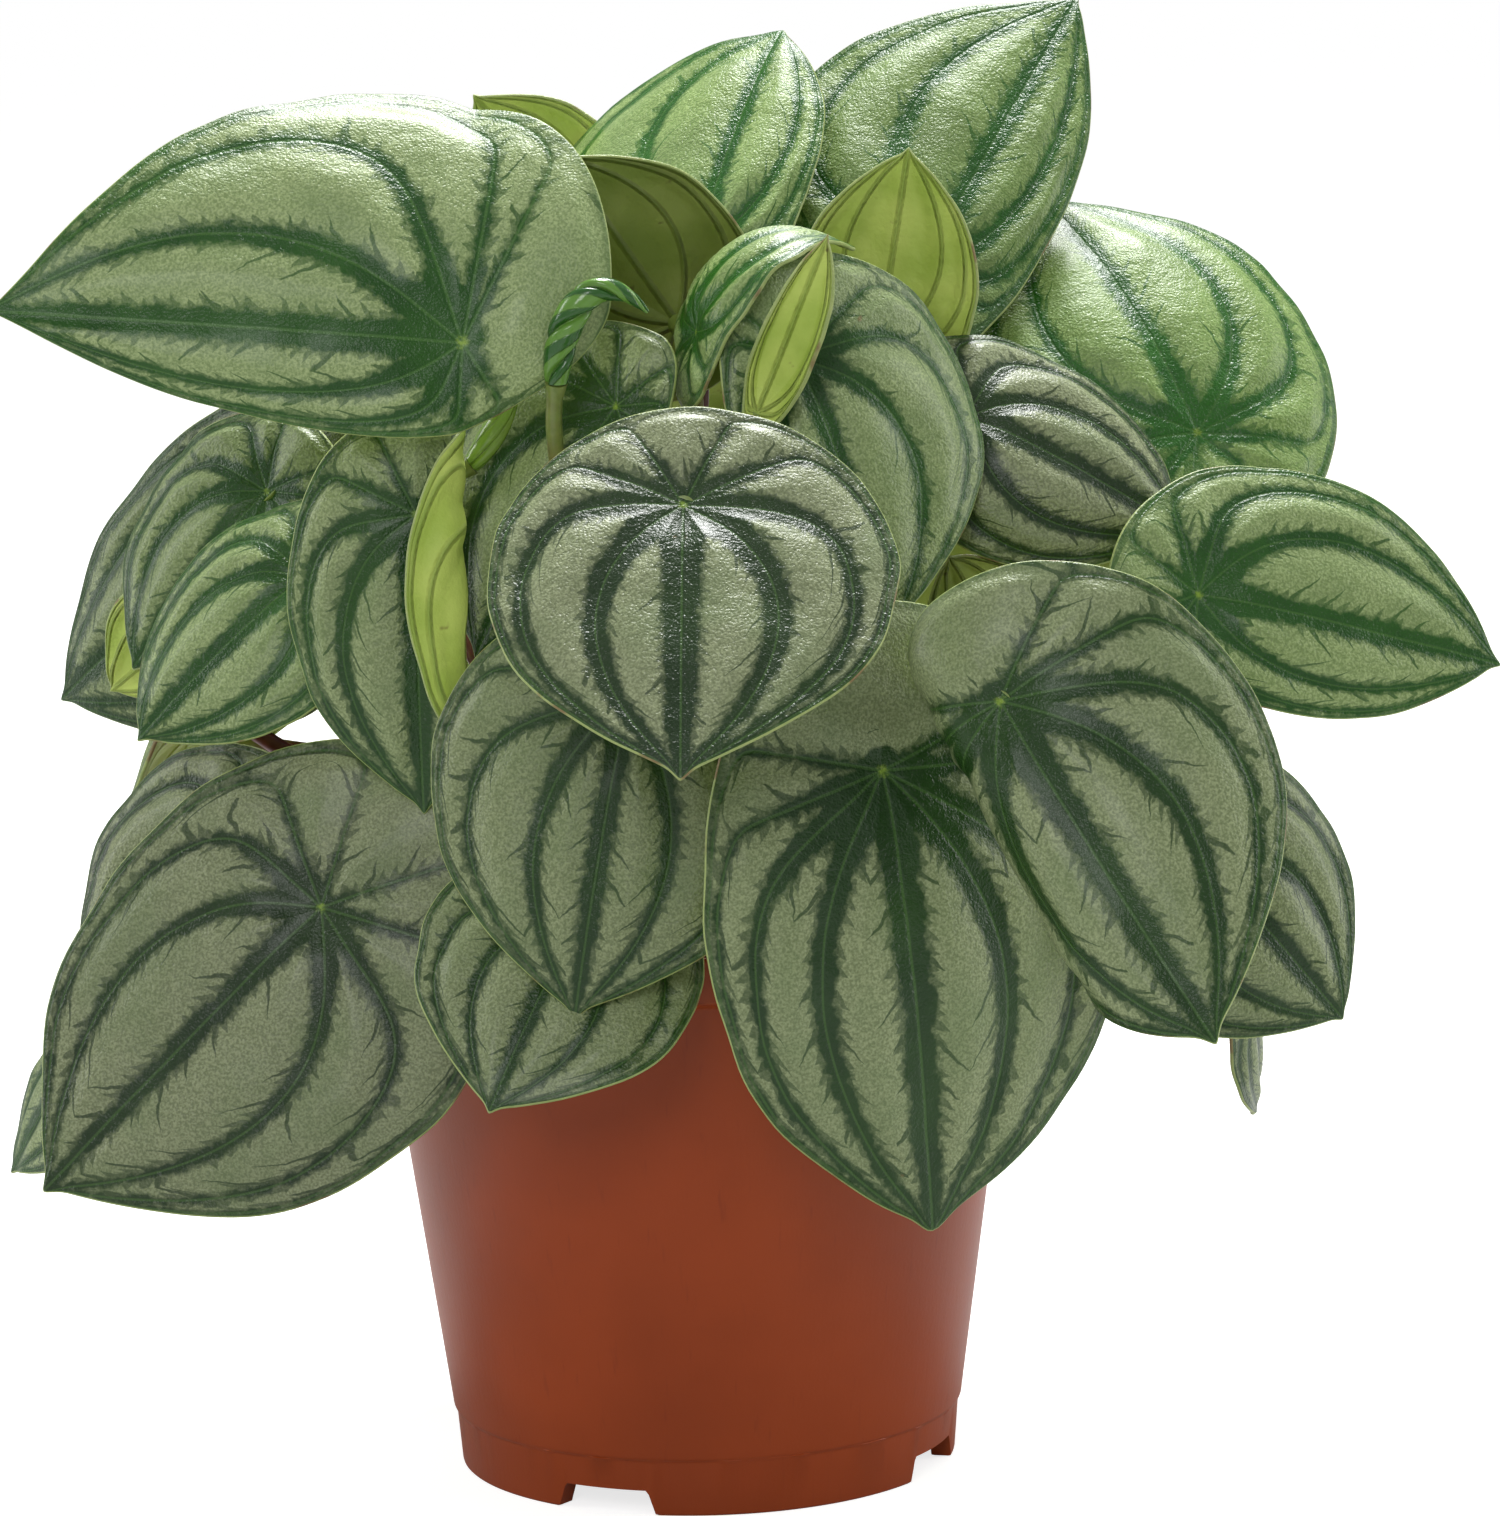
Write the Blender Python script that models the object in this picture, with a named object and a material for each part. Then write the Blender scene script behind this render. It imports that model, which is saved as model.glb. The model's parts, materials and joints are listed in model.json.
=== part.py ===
"""Watermelon peperomia in a moulded nursery pot, at rest on its foot.

Z is up, the pot stands on Z = 0 and its axis is X = Y = 0. The plant's fullest side looks
towards -Y. Every blade is a shield joined to its stalk inside the margin. The stalks of one
crown grew as one piece and are one body. Touching pieces are kept SEAT apart. Leaf rows are
in millimetres and degrees, and everything is turned into metres when the meshes are made.
"""

import math

import bmesh
import bpy
import numpy as np

MM = 0.001
SEAT = 0.3

# Pot: one thin moulding.
POT_HEIGHT = 98.0
POT_SIDES = 48
FOOT_RADIUS = 42.4
FOOT_HEIGHT = 9.5
FOOT_TOP_RADIUS = 43.2
SEAM_STEP = 0.5
WALL_SLOPE = 0.14
WALL = 1.6
RIM_DEPTH = 9.0
RIM_LIP = 2.6
RIM_SLOPE = 1.0
RIM_STEP_LOW = 1.4
RIM_STEP_HIGH = 2.6
RIM_STEP_IN = 0.4
FOOT_WIDTH = 3.4
FLOOR_UNDER = 5.0
FLOOR_THICK = 2.0
NOTCH_BEARINGS = (-114.0, -24.0, 66.0, 156.0)
NOTCH_WIDTH = 16.5
NOTCH_HEIGHT = 4.2
NOTCH_INWARD = 8.0
NOTCH_OUTWARD = 5.0
NOTCH_BELOW = 5.0
PAD_RADIUS = 14.0
PAD_SLOPE = 3.0
DRAIN_RADIUS = 3.6
DRAIN_CIRCLE = 28.0
DRAIN_COUNT = 5
DRAIN_TURN = 0.07
DRAIN_SIDES = 12
DRAIN_SPAN = (1.0, 12.0)

# Soil: fills the pot to below its rim.
SOIL_TOP = 86.0
SOIL_HEAP = 2.5
SOIL_SIDES = 32
FACET_SAG = 0.3
SOIL_RINGS = (0.75, 0.5, 0.25, 0.1)

# Crowns: short stumps on the soil that the stalks grow from.
CROWN_HEIGHT = 8.0
CROWN_GAP = 0.45
CROWN_RADIUS = 6.0
CROWN_TOP_SHARE = 0.55
CROWN_SIDES = 10
CROWNS = {
    "left": (-21.0, 0.0),
    "front": (-2.0, -22.0),
    "right": (21.0, -3.0),
    "middle": (0.0, 0.0),
    "back": (0.0, 24.0),
}

# Stalks.
STALK_FOOT_RADIUS = 1.9
STALK_TOP_RADIUS = 1.3
STALK_SIDES = 6
STALK_STEPS = 7
STALK_ROOT_DEPTH = 3.0
STALK_RISE = 0.45
STALK_LEAD = 0.22
STALK_GAP = 0.4

# Blades. The outline is in shares of the length from the stalk to the tip.
BLADE_THICK = 1.0
BASE_SHARE = 0.37
BASE_ROUND = 0.5
TIP_TAPER = 0.62
TIP_PINCH = 0.45
TIP_START = 0.8
BLADE_RAYS = 16
BLADE_RINGS = (0.4, 0.75, 1.0)


def leaf(crown, seat, face, swing, length, width, arch=10, back=10, cup=15, twist=0, lean=0,
         taper=TIP_TAPER, base=BASE_SHARE, roll=None, bow=(0, 0, 0),
         gap=STALK_GAP):
    """One leaf. seat: where the stalk meets the blade. face: bearing and lift of its upper side.
    swing: the tip's turn from straight downhill. arch, back: how far the blade droops to the tip
    and to the base. cup: how far each half droops to the margin. lean: how much wider the left
    half is. base: reach of the lobe behind the stalk. roll: a margin rolled over, as its side,
    the share of the half where it starts, its angle (minus for under) and its radius. bow: how
    far the stalk swings out of its straightest way. gap: from its end to a sharply bent blade."""
    return dict(crown=crown, seat=seat, face=face, swing=swing, length=length, width=width, arch=arch,
                back=back, cup=cup, twist=twist, lean=lean, taper=taper, base=base, roll=roll,
                bow=bow, gap=gap)


LEAVES = {
    # Front, from the middle outwards.
    "front_centre": leaf("front", (0, -84, 174), (-92, 52), 0, 55, 0.6, 10, -10, 12, lean=0.05,
                         bow=(4, 10, 12)),
    "front_low_centre": leaf("front", (-10, -67, 143), (-97, 18), -10, 52, 0.64, 20, 30, 20, base=0.3),
    "front_low_left": leaf("front", (-17, -61, 103), (-90, 42), -25, 36, 0.66, 20, 20, 15),
    "front_low_right": leaf("right", (29, -75, 130), (-66, 8), 5, 74, 0.53, 15, 45, 20, lean=0.14),
    "front_right": leaf("right", (54, -90, 145), (-110, 15), 35, 62, 0.53, 10, 0, 25, twist=-15,
                        roll=("right", 0.08, -62, 14), bow=(12, 0, 12),
                        gap=0.9),
    "right_low": leaf("right", (81, -58, 114), (-70, 12), 40, 38, 0.62, 10, 10, 20),
    "right_low_tip": leaf("right", (92, -30, 85), (-10, 5), 30, 28, 0.4, 10, 10, 30, bow=(0, 0, 8)),
    "left_low": leaf("left", (-60, -47, 106), (-101, 18), -44, 64, 0.54, 8, 15, 12, lean=0.12),
    "left_low_behind": leaf("left", (-75, -34, 111), (-115, 20), -50, 38, 0.6, 10, 10, 20),
    "left_low_tip": leaf("left", (-102, -20, 79), (-150, 25), -30, 30, 0.5, 10, 10, 20, bow=(0, 0, 14)),
    "left_centre": leaf("left", (-45, -46, 169), (-97, 8), 0, 48, 0.46, 15, 15, 15,
                        roll=("left", 0.36, 165, 3), bow=(-12, 0, 0)),
    "centre_behind": leaf("middle", (-11, -40, 186), (-110, 30), -25, 46, 0.42, 20, 20, 12, lean=-0.4,
                          base=0.3, bow=(-2, 0, 0)),
    # Left side.
    "left_top": leaf("left", (-36, -55, 201), (-95, 10), -93, 76, 0.48, 8, 12, 58, lean=-0.34,
                     taper=1.0, base=0.31, bow=(-12, 10, 6),
                     gap=0.65),
    "left_inner": leaf("left", (-70, -15, 170), (-115, 25), -35, 37, 0.54, 15, 15, 20, bow=(0, -12, 0)),
    "left_glossy": leaf("left", (-63, -30, 158), (-110, 32), -42, 38, 0.5, 15, 15, 20, bow=(0, -4, 0)),
    "left_far": leaf("left", (-67, -2, 165), (-118, 5), -52, 60, 0.48, 10, 10, 20),
    "left_sliver": leaf("left", (-82, -3, 148), (60, 20), 55, 26, 0.45, 10, 10, 15, bow=(0, -4, -14)),
    # Top.
    "top_left_back": leaf("back", (-20, 54, 210), (75, 10), 140, 28, 0.5, 10, 10, 10, bow=(-12, 4, 0)),
    "top_centre": leaf("middle", (6, 8, 208), (-115, 42), 180, 48, 0.62, 20, 20, 30, lean=0.5,
                       bow=(-8, 0, 0), gap=0.5),
    "top_right": leaf("middle", (40, 8, 202), (-85, 35), 150, 64, 0.44, 10, 10, 18, lean=0.4),
    "top_olive": leaf("middle", (-1, -12, 197), (105, 10), 145, 36, 0.5, 10, 10, 20),
    "top_arched": leaf("middle", (2, -36, 195), (-165, 10), 178, 35, 0.42, 110, 20, 20, gap=1.0),
    "top_underside": leaf("middle", (33, -9, 193), (85, 0), -170, 32, 0.5, 10, 10, 30),
    # Right side.
    "right_centre": leaf("front", (22, -45, 189), (-72, 20), 15, 40, 0.54, 15, 20, 24, lean=0.35),
    "right_silver": leaf("right", (46, -26, 181), (-80, 25), 60, 38, 0.5, 20, 20, 30),
    "right_pale": leaf("right", (80, -8, 176), (-80, 30), 155, 52, 0.54, 30, 20, 25),
    "right_far": leaf("right", (84, -42, 151), (-78, 22), 75, 52, 0.45, 10, 10, 15, lean=0.3),
    "right_hidden": leaf("right", (51, -30, 146), (95, 10), 150, 16, 0.6, 10, 10, 10),
    # Back.
    "back_left": leaf("left", (-60, 45, 165), (135, 35), 0, 60, 0.56, 15, 15, 18),
    "back_centre_left": leaf("back", (-27, 74, 144), (105, 30), -5, 62, 0.55, 12, 20, 18),
    "back_centre_right": leaf("back", (27, 76, 150), (78, 28), 5, 64, 0.55, 12, 20, 18),
    "back_right": leaf("right", (72, 42, 162), (35, 30), 0, 56, 0.56, 15, 15, 18),
    "side_left": leaf("left", (-88, 38, 122), (160, 25), 0, 52, 0.55, 12, 15, 20),
    "back_low_left": leaf("back", (-42, 62, 106), (120, 18), 0, 52, 0.55, 12, 15, 18),
    "back_low_right": leaf("back", (32, 68, 104), (68, 15), 0, 55, 0.55, 12, 15, 18),
    "side_right": leaf("right", (85, 28, 118), (20, 20), 0, 56, 0.56, 12, 15, 20),
    "back_top": leaf("back", (2, 44, 194), (95, 55), 0, 52, 0.55, 20, 20, 15),
}
ROLL_RINGS = (0.4, 0.52, 0.66, 0.8, 1.0)

# Rolled young leaves: crown, seat, tip, sideways bend, greatest radius, bow of the stalk.
ROLLED = {
    "young_spiral": ("middle", (-20, -26, 198), (-9, -27, 209), (-3, 0, 2), 2.2, (-3, 4, 0)),
    "young_rolled": ("left", (-35, -38, 179), (-29, -40, 191), (1, 0, -2), 2.0, (-12, -3, 0)),
    "young_pale": ("front", (13, -57, 186), (24, -52, 212), (-2, 0, 0), 4.2, (-6, 0, 0)),
}
ROLLED_SIDES = 8
ROLLED_STEPS = 6
ROLLED_TIP_SHARE = 0.15

COLOURS = {
    "pot": (0.22, 0.05, 0.02, 1),
    "soil": (0.04, 0.03, 0.02, 1),
    "stems": (0.16, 0.03, 0.03, 1),
    "leaf": (0.11, 0.2, 0.08, 1),
    "young": (0.16, 0.35, 0.06, 1),
}


def material(kind, roughness=0.5):
    found = bpy.data.materials.get(kind)
    if found:
        return found
    made = bpy.data.materials.new(kind)
    made.use_nodes = True
    shader = made.node_tree.nodes["Principled BSDF"]
    shader.inputs["Base Color"].default_value = COLOURS[kind]
    shader.inputs["Roughness"].default_value = roughness
    return made


def add_object(name, points, faces, kind, helper=False):
    """Make an object from points in millimetres."""
    mesh = bpy.data.meshes.new(name)
    mesh.from_pydata((np.asarray(points) * MM).tolist(), [], [tuple(map(int, f)) for f in faces])
    made = bpy.data.objects.new(name, mesh)
    bpy.context.scene.collection.objects.link(made)
    work = bmesh.new()
    work.from_mesh(mesh)
    bmesh.ops.recalc_face_normals(work, faces=work.faces[:])
    work.to_mesh(mesh)
    work.free()
    mesh.materials.append(material(kind))
    if helper:
        made.hide_render = True
        made.display_type = "WIRE"
    return made


def combine(target, helper, operation):
    change = target.modifiers.new(helper.name, "BOOLEAN")
    change.operation = operation
    change.solver = "EXACT"
    change.object = helper


def ring(radius, height, sides):
    turns = np.arange(sides) * 2 * math.pi / sides
    return np.stack([radius * np.cos(turns), radius * np.sin(turns), np.full(sides, height)], 1)


def loft(rings):
    """Skin between rings of equal count, with both ends capped."""
    sides = len(rings[0])
    count = len(rings)
    faces = []
    for j in range(count - 1):
        low = j * sides
        high = low + sides
        for k in range(sides):
            after = (k + 1) % sides
            faces.append((low + k, low + after, high + after, high + k))
    faces.append(tuple(range(sides))[::-1])
    faces.append(tuple(range((count - 1) * sides, count * sides)))
    return np.concatenate(rings), faces


def wall_radius(height):
    return FOOT_TOP_RADIUS + SEAM_STEP + WALL_SLOPE * (height - FOOT_HEIGHT)


def make_pot():
    rim_base = POT_HEIGHT - RIM_DEPTH
    floor_top = FLOOR_UNDER + FLOOR_THICK
    profile = [
        (PAD_RADIUS, 0.0),
        (PAD_RADIUS + PAD_SLOPE, FLOOR_UNDER),
        (FOOT_RADIUS - FOOT_WIDTH, FLOOR_UNDER),
        (FOOT_RADIUS - FOOT_WIDTH, 0.0),
        (FOOT_RADIUS, 0.0),
        (FOOT_TOP_RADIUS, FOOT_HEIGHT),
        (wall_radius(FOOT_HEIGHT), FOOT_HEIGHT + SEAM_STEP),
        (wall_radius(rim_base), rim_base),
        (wall_radius(rim_base) + RIM_LIP, rim_base + RIM_SLOPE),
        (wall_radius(POT_HEIGHT) + RIM_LIP, POT_HEIGHT),
        (wall_radius(POT_HEIGHT) + RIM_LIP - WALL, POT_HEIGHT),
        (wall_radius(rim_base) + RIM_LIP - WALL - RIM_STEP_IN, rim_base + RIM_STEP_HIGH),
        (wall_radius(rim_base) - WALL, rim_base + RIM_STEP_LOW),
        (wall_radius(floor_top) - WALL, floor_top),
        (PAD_RADIUS + PAD_SLOPE + 1.0, floor_top),
        (PAD_RADIUS + 1.0, FLOOR_THICK),
    ]
    points, faces = loft([ring(radius, height, POT_SIDES) for radius, height in profile])
    pot = add_object("pot", points, faces, "pot")
    for index, bearing in enumerate(NOTCH_BEARINGS):
        half = NOTCH_WIDTH / 2
        corners = []
        inner = FOOT_RADIUS - NOTCH_INWARD
        outer = FOOT_RADIUS + NOTCH_OUTWARD
        for height in (-NOTCH_BELOW, NOTCH_HEIGHT):
            for reach, side in ((inner, -half), (outer, -half), (outer, half), (inner, half)):
                turn = math.radians(bearing)
                corners.append((reach * math.cos(turn) - side * math.sin(turn),
                                reach * math.sin(turn) + side * math.cos(turn), height))
        cut_points, cut_faces = loft([corners[:4], corners[4:]])
        combine(pot, add_object(f"notch_{index}", cut_points, cut_faces, "pot", True), "DIFFERENCE")
    for index in range(DRAIN_COUNT):
        turn = DRAIN_TURN + index * 2 * math.pi / DRAIN_COUNT
        centre = np.array([DRAIN_CIRCLE * math.cos(turn), DRAIN_CIRCLE * math.sin(turn), 0.0])
        rings = [ring(DRAIN_RADIUS, height, DRAIN_SIDES) + centre for height in DRAIN_SPAN]
        combine(pot, add_object(f"drain_{index}", *loft(rings), "pot", True), "DIFFERENCE")
    return pot


def soil_height(x, y):
    reach = min(1.0, math.hypot(x, y) / 50.0)
    return SOIL_TOP + SOIL_HEAP * (1 - reach * reach)


def make_soil():
    floor = FLOOR_UNDER + FLOOR_THICK + SEAT
    edge_low = wall_radius(floor) - WALL - SEAT - FACET_SAG
    edge_high = wall_radius(SOIL_TOP) - WALL - SEAT - FACET_SAG
    rings = [
        ring(PAD_RADIUS, FLOOR_THICK + SEAT, SOIL_SIDES),
        ring(PAD_RADIUS + PAD_SLOPE, floor, SOIL_SIDES),
        ring(edge_low, floor, SOIL_SIDES),
        ring(edge_high, SOIL_TOP, SOIL_SIDES),
    ]
    for share in SOIL_RINGS:
        top = ring(edge_high * share, 0.0, SOIL_SIDES)
        top[:, 2] = [soil_height(x, y) for x, y, _ in top]
        rings.append(top)
    return add_object("soil", *loft(rings), "soil")


def leaf_axes(face, swing):
    """Unit vectors of a blade: to its tip, to its left, out of its upper side."""
    bearing, lift = map(math.radians, face)
    turn = math.radians(swing)
    out = np.array([math.cos(bearing) * math.cos(lift), math.sin(bearing) * math.cos(lift), math.sin(lift)])
    down = np.array([math.cos(bearing) * math.sin(lift), math.sin(bearing) * math.sin(lift), -math.cos(lift)])
    across = np.array([-math.sin(bearing), math.cos(bearing), 0.0])
    ahead = math.cos(turn) * down + math.sin(turn) * across
    return np.stack([ahead, np.cross(out, ahead), out])


def blade_outline(row):
    turns = np.arange(BLADE_RAYS) / BLADE_RAYS * 2 * math.pi
    share = (1 + np.cos(turns)) / 2
    ahead = (1 + row["base"]) * share - row["base"]
    widest = BASE_ROUND / (BASE_ROUND + row["taper"])
    width = share**BASE_ROUND * (1 - share)**row["taper"]
    width /= widest**BASE_ROUND * (1 - widest)**row["taper"]
    width *= 1 - TIP_PINCH * np.clip((share - TIP_START) / (1 - TIP_START), 0, 1)
    side = np.sign(np.round(np.sin(turns), 6))
    return np.stack([ahead, side * width * row["width"] * (1 + side * row["lean"])], 1) * row["length"]


def shape_blade(row, flat, height):
    """Bend flat blade points, at a height above the middle of the sheet, into place."""
    length = row["length"]
    half = row["width"] * length
    ahead, side = flat[:, 0], flat[:, 1]
    steps = np.linspace(0, 2 * half, 121)
    across = np.zeros((len(flat), 2))
    tilt = np.zeros(len(flat))
    for name, sign in (("left", 1), ("right", -1)):
        angle = np.radians(row["cup"]) * steps / half
        if row["roll"] and row["roll"][0] == name:
            _, start, most, radius = row["roll"]
            bent = np.clip((steps - start * half) / radius, 0, math.radians(abs(most)))
            angle -= math.copysign(1, most) * bent
        middle = (angle[1:] + angle[:-1]) / 2
        run = np.concatenate([[0], np.cumsum(np.cos(middle))]) * steps[1]
        drop = np.concatenate([[0], np.cumsum(np.sin(middle))]) * steps[1]
        mine = side * sign > 0
        reach = np.abs(side[mine])
        tilt[mine] = np.interp(reach, steps, angle) * sign
        across[mine, 0] = sign * np.interp(reach, steps, run)
        across[mine, 1] = -np.interp(reach, steps, drop)
    across += height * np.stack([np.sin(tilt), np.cos(tilt)], 1)
    turn = math.radians(row["twist"]) * ahead / length
    left = across[:, 0] * np.cos(turn) - across[:, 1] * np.sin(turn)
    up = across[:, 0] * np.sin(turn) + across[:, 1] * np.cos(turn)
    droop = np.radians(np.where(ahead > 0, row["arch"], row["back"])) / length
    droop = np.where(np.abs(droop) < 1e-6, 1e-6, droop)
    local = np.stack([(1 / droop + up) * np.sin(droop * ahead), left,
                      (1 / droop + up) * np.cos(droop * ahead) - 1 / droop], 1)
    return np.array(row["seat"]) + local @ leaf_axes(row["face"], row["swing"])


def make_blade(name, row):
    outline = blade_outline(row)
    rings = ROLL_RINGS if row["roll"] else BLADE_RINGS
    flat = np.concatenate([np.zeros((1, 2))] + [outline * share for share in rings])
    points = [shape_blade(row, flat, side * BLADE_THICK / 2) for side in (1, -1)]
    count = len(flat)
    faces = []
    for k in range(BLADE_RAYS):
        after = (k + 1) % BLADE_RAYS
        faces.append((0, 1 + k, 1 + after))
        faces.append((count, count + 1 + after, count + 1 + k))
        for j in range(len(rings) - 1):
            low = 1 + j * BLADE_RAYS
            high = low + BLADE_RAYS
            faces.append((low + k, high + k, high + after))
            faces.append((low + k, high + after, low + after))
            faces.append((count + low + k, count + high + after, count + high + k))
            faces.append((count + low + k, count + low + after, count + high + after))
        edge = 1 + (len(rings) - 1) * BLADE_RAYS
        faces.append((edge + k, count + edge + k, count + edge + after))
        faces.append((edge + k, count + edge + after, edge + after))
    return add_object(f"leaf_{name}", np.concatenate(points), faces, "leaf")


def tube(path, radii, sides, end=None):
    """Round tube along a path, without twist. Its last ring is square to end, or to the path."""
    path = np.asarray(path)
    ahead = np.gradient(path, axis=0)
    ahead[0] = path[1] - path[0]
    ahead[-1] = path[-1] - path[-2] if end is None else end
    ahead /= np.linalg.norm(ahead, axis=1, keepdims=True)
    side = np.cross(ahead[0], (0.3, 0.9, 0.1))
    rings = []
    for centre, along, radius in zip(path, ahead, radii):
        side = side - along * (side @ along)
        side /= np.linalg.norm(side)
        other = np.cross(along, side)
        rings.append([centre + radius * (math.cos(turn) * side + math.sin(turn) * other)
                      for turn in np.arange(sides) * 2 * math.pi / sides])
    return loft(rings)


def curve(points, steps):
    """Bezier curve through four control points."""
    a, b, c, d = (np.asarray(p, float) for p in points)
    share = np.linspace(0, 1, steps + 1)[:, None]
    rest = 1 - share
    return a * rest**3 + 3 * b * rest**2 * share + 3 * c * rest * share**2 + d * share**3


def rolled_path(seat, tip, bend):
    """Middle line of a rolled young leaf."""
    seat, tip, bend = (np.array(p, float) for p in (seat, tip, bend))
    third = (tip - seat) / 3
    return curve((seat, seat + third + bend, tip - third + bend, tip), ROLLED_STEPS)


def make_stalk(name, crown, top, out, bow):
    """One leaf stalk, from inside its crown to the underside of its leaf."""
    x, y = CROWNS[crown]
    base = soil_height(x, y) + SEAT
    plan = np.array([top[0] - x, top[1] - y, 0.0])
    plan /= max(1.0, np.linalg.norm(plan))
    foot = np.array([x, y, base + STALK_ROOT_DEPTH]) + 2.5 * plan
    span = np.linalg.norm(top - foot)
    rise = foot + np.array([0, 0, STALK_RISE * span]) + 0.1 * span * plan + bow
    lead = top - STALK_LEAD * span * out + bow
    path = curve((foot, rise, lead, top), STALK_STEPS)
    radii = np.linspace(STALK_FOOT_RADIUS, STALK_TOP_RADIUS, STALK_STEPS + 1)
    points, faces = tube(path, radii, STALK_SIDES, out)
    return add_object(f"stalk_{name}", points, faces, "stems", True)


def make_stems():
    for crown, (x, y) in CROWNS.items():
        base = soil_height(x, y) + CROWN_GAP
        centre = np.array([x, y, 0.0])
        rings = [ring(CROWN_RADIUS * share, base + rise, CROWN_SIDES) + centre
                 for share, rise in ((0.9, 0.0), (1.0, 2.0), (CROWN_TOP_SHARE, CROWN_HEIGHT))]
        points, faces = loft(rings)
        stems = add_object(f"stems_{crown}", points, faces, "stems")
        for name, row in LEAVES.items():
            if row["crown"] != crown:
                continue
            out = leaf_axes(row["face"], row["swing"])[2]
            top = np.array(row["seat"]) - (BLADE_THICK / 2 + row["gap"]) * out
            combine(stems, make_stalk(name, crown, top, out, np.array(row["bow"], float)), "UNION")
        for name, (home, seat, tip, bend, _, bow) in ROLLED.items():
            if home != crown:
                continue
            path = rolled_path(seat, tip, bend)
            out = (path[1] - path[0]) / np.linalg.norm(path[1] - path[0])
            foot = np.array(seat) - STALK_GAP * out
            combine(stems, make_stalk(name, crown, foot, out, np.array(bow, float)), "UNION")


def make_rolled():
    for name, (_, seat, tip, bend, radius, _) in ROLLED.items():
        path = rolled_path(seat, tip, bend)
        share = np.linspace(0, 1, ROLLED_STEPS + 1)
        swell = np.sin(math.pi * (0.25 + 0.7 * share))
        radii = radius * np.maximum(swell, ROLLED_TIP_SHARE)
        add_object(f"leaf_{name}", *tube(path, radii, ROLLED_SIDES), "young")


def main():
    for old in list(bpy.data.objects):
        bpy.data.objects.remove(old, do_unlink=True)
    make_pot()
    make_soil()
    make_stems()
    for name, row in LEAVES.items():
        make_blade(name, row)
    make_rolled()


main()
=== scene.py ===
"""Looks of a watermelon peperomia in a nursery pot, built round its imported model."""

import json
import math

import bpy
import numpy as np
from mathutils import Matrix, Vector

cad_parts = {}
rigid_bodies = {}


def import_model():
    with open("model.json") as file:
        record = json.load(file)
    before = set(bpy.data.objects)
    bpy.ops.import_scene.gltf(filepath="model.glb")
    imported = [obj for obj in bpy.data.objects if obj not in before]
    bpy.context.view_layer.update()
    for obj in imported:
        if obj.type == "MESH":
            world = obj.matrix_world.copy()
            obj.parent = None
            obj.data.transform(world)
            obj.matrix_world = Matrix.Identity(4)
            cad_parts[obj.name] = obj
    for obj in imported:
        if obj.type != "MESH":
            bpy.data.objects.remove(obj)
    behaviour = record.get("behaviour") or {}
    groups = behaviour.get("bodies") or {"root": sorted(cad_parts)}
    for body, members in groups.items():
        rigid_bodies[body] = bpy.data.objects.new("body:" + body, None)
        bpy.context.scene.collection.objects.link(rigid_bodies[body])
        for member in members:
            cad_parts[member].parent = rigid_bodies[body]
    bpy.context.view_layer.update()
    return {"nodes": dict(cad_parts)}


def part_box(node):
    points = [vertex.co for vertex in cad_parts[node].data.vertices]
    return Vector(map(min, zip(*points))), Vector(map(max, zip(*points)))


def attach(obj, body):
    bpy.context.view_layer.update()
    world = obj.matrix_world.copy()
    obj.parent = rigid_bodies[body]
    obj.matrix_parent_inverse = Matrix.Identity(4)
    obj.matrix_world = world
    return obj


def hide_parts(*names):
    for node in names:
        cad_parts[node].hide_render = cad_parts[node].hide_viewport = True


for old in list(bpy.data.objects):
    bpy.data.objects.remove(old, do_unlink=True)
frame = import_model()

# ---------------------------------------------------------------------------------------------
# Pot: a thin-walled nursery pot, injection moulded in brown polypropylene. It has a plain foot
# with four drainage notches, a step where the two halves of the mould meet, and a rolled rim.


def srgb(red, green, blue):
    """Linear colour from the usual 0 to 255 values."""
    shares = [value / 255 for value in (red, green, blue)]
    return [((v + 0.055) / 1.055) ** 2.4 if v > 0.04 else v / 12.92 for v in shares] + [1]


class Quantity:
    """A number worked out by a node tree. Arithmetic on it adds Math nodes to that tree."""

    def __init__(self, tree, socket):
        self.tree = tree
        self.socket = socket

    def __add__(self, other):
        return work("ADD", self, other)

    def __radd__(self, other):
        return work("ADD", other, self)

    def __sub__(self, other):
        return work("SUBTRACT", self, other)

    def __rsub__(self, other):
        return work("SUBTRACT", other, self)

    def __mul__(self, other):
        return work("MULTIPLY", self, other)

    def __rmul__(self, other):
        return work("MULTIPLY", other, self)

    def __truediv__(self, other):
        return work("DIVIDE", self, other)

    def __rtruediv__(self, other):
        return work("DIVIDE", other, self)

    def __pow__(self, other):
        return work("POWER", self, other)


def feed(tree, value, socket):
    """Link a quantity or a socket to an input, or set the input's own value."""
    if isinstance(value, Quantity):
        tree.links.new(value.socket, socket)
    elif isinstance(value, bpy.types.NodeSocket):
        tree.links.new(value, socket)
    else:
        socket.default_value = value


def work(operation, *values):
    tree = next(v.tree for v in values if isinstance(v, Quantity))
    node = tree.nodes.new("ShaderNodeMath")
    node.operation = operation
    for value, socket in zip(values, node.inputs):
        feed(tree, value, socket)
    return Quantity(tree, node.outputs[0])


def step(value, low, high):
    """0 below low, 1 above high, and smooth between them. It falls where low is over high."""
    node = value.tree.nodes.new("ShaderNodeMapRange")
    node.interpolation_type = "SMOOTHSTEP"
    flip = low > high
    ends = (high, low, 1, 0) if flip else (low, high, 0, 1)
    for entry, setting in zip(("Value", "From Min", "From Max", "To Min", "To Max"), (value, *ends)):
        feed(value.tree, setting, node.inputs[entry])
    return Quantity(value.tree, node.outputs["Result"])


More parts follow.
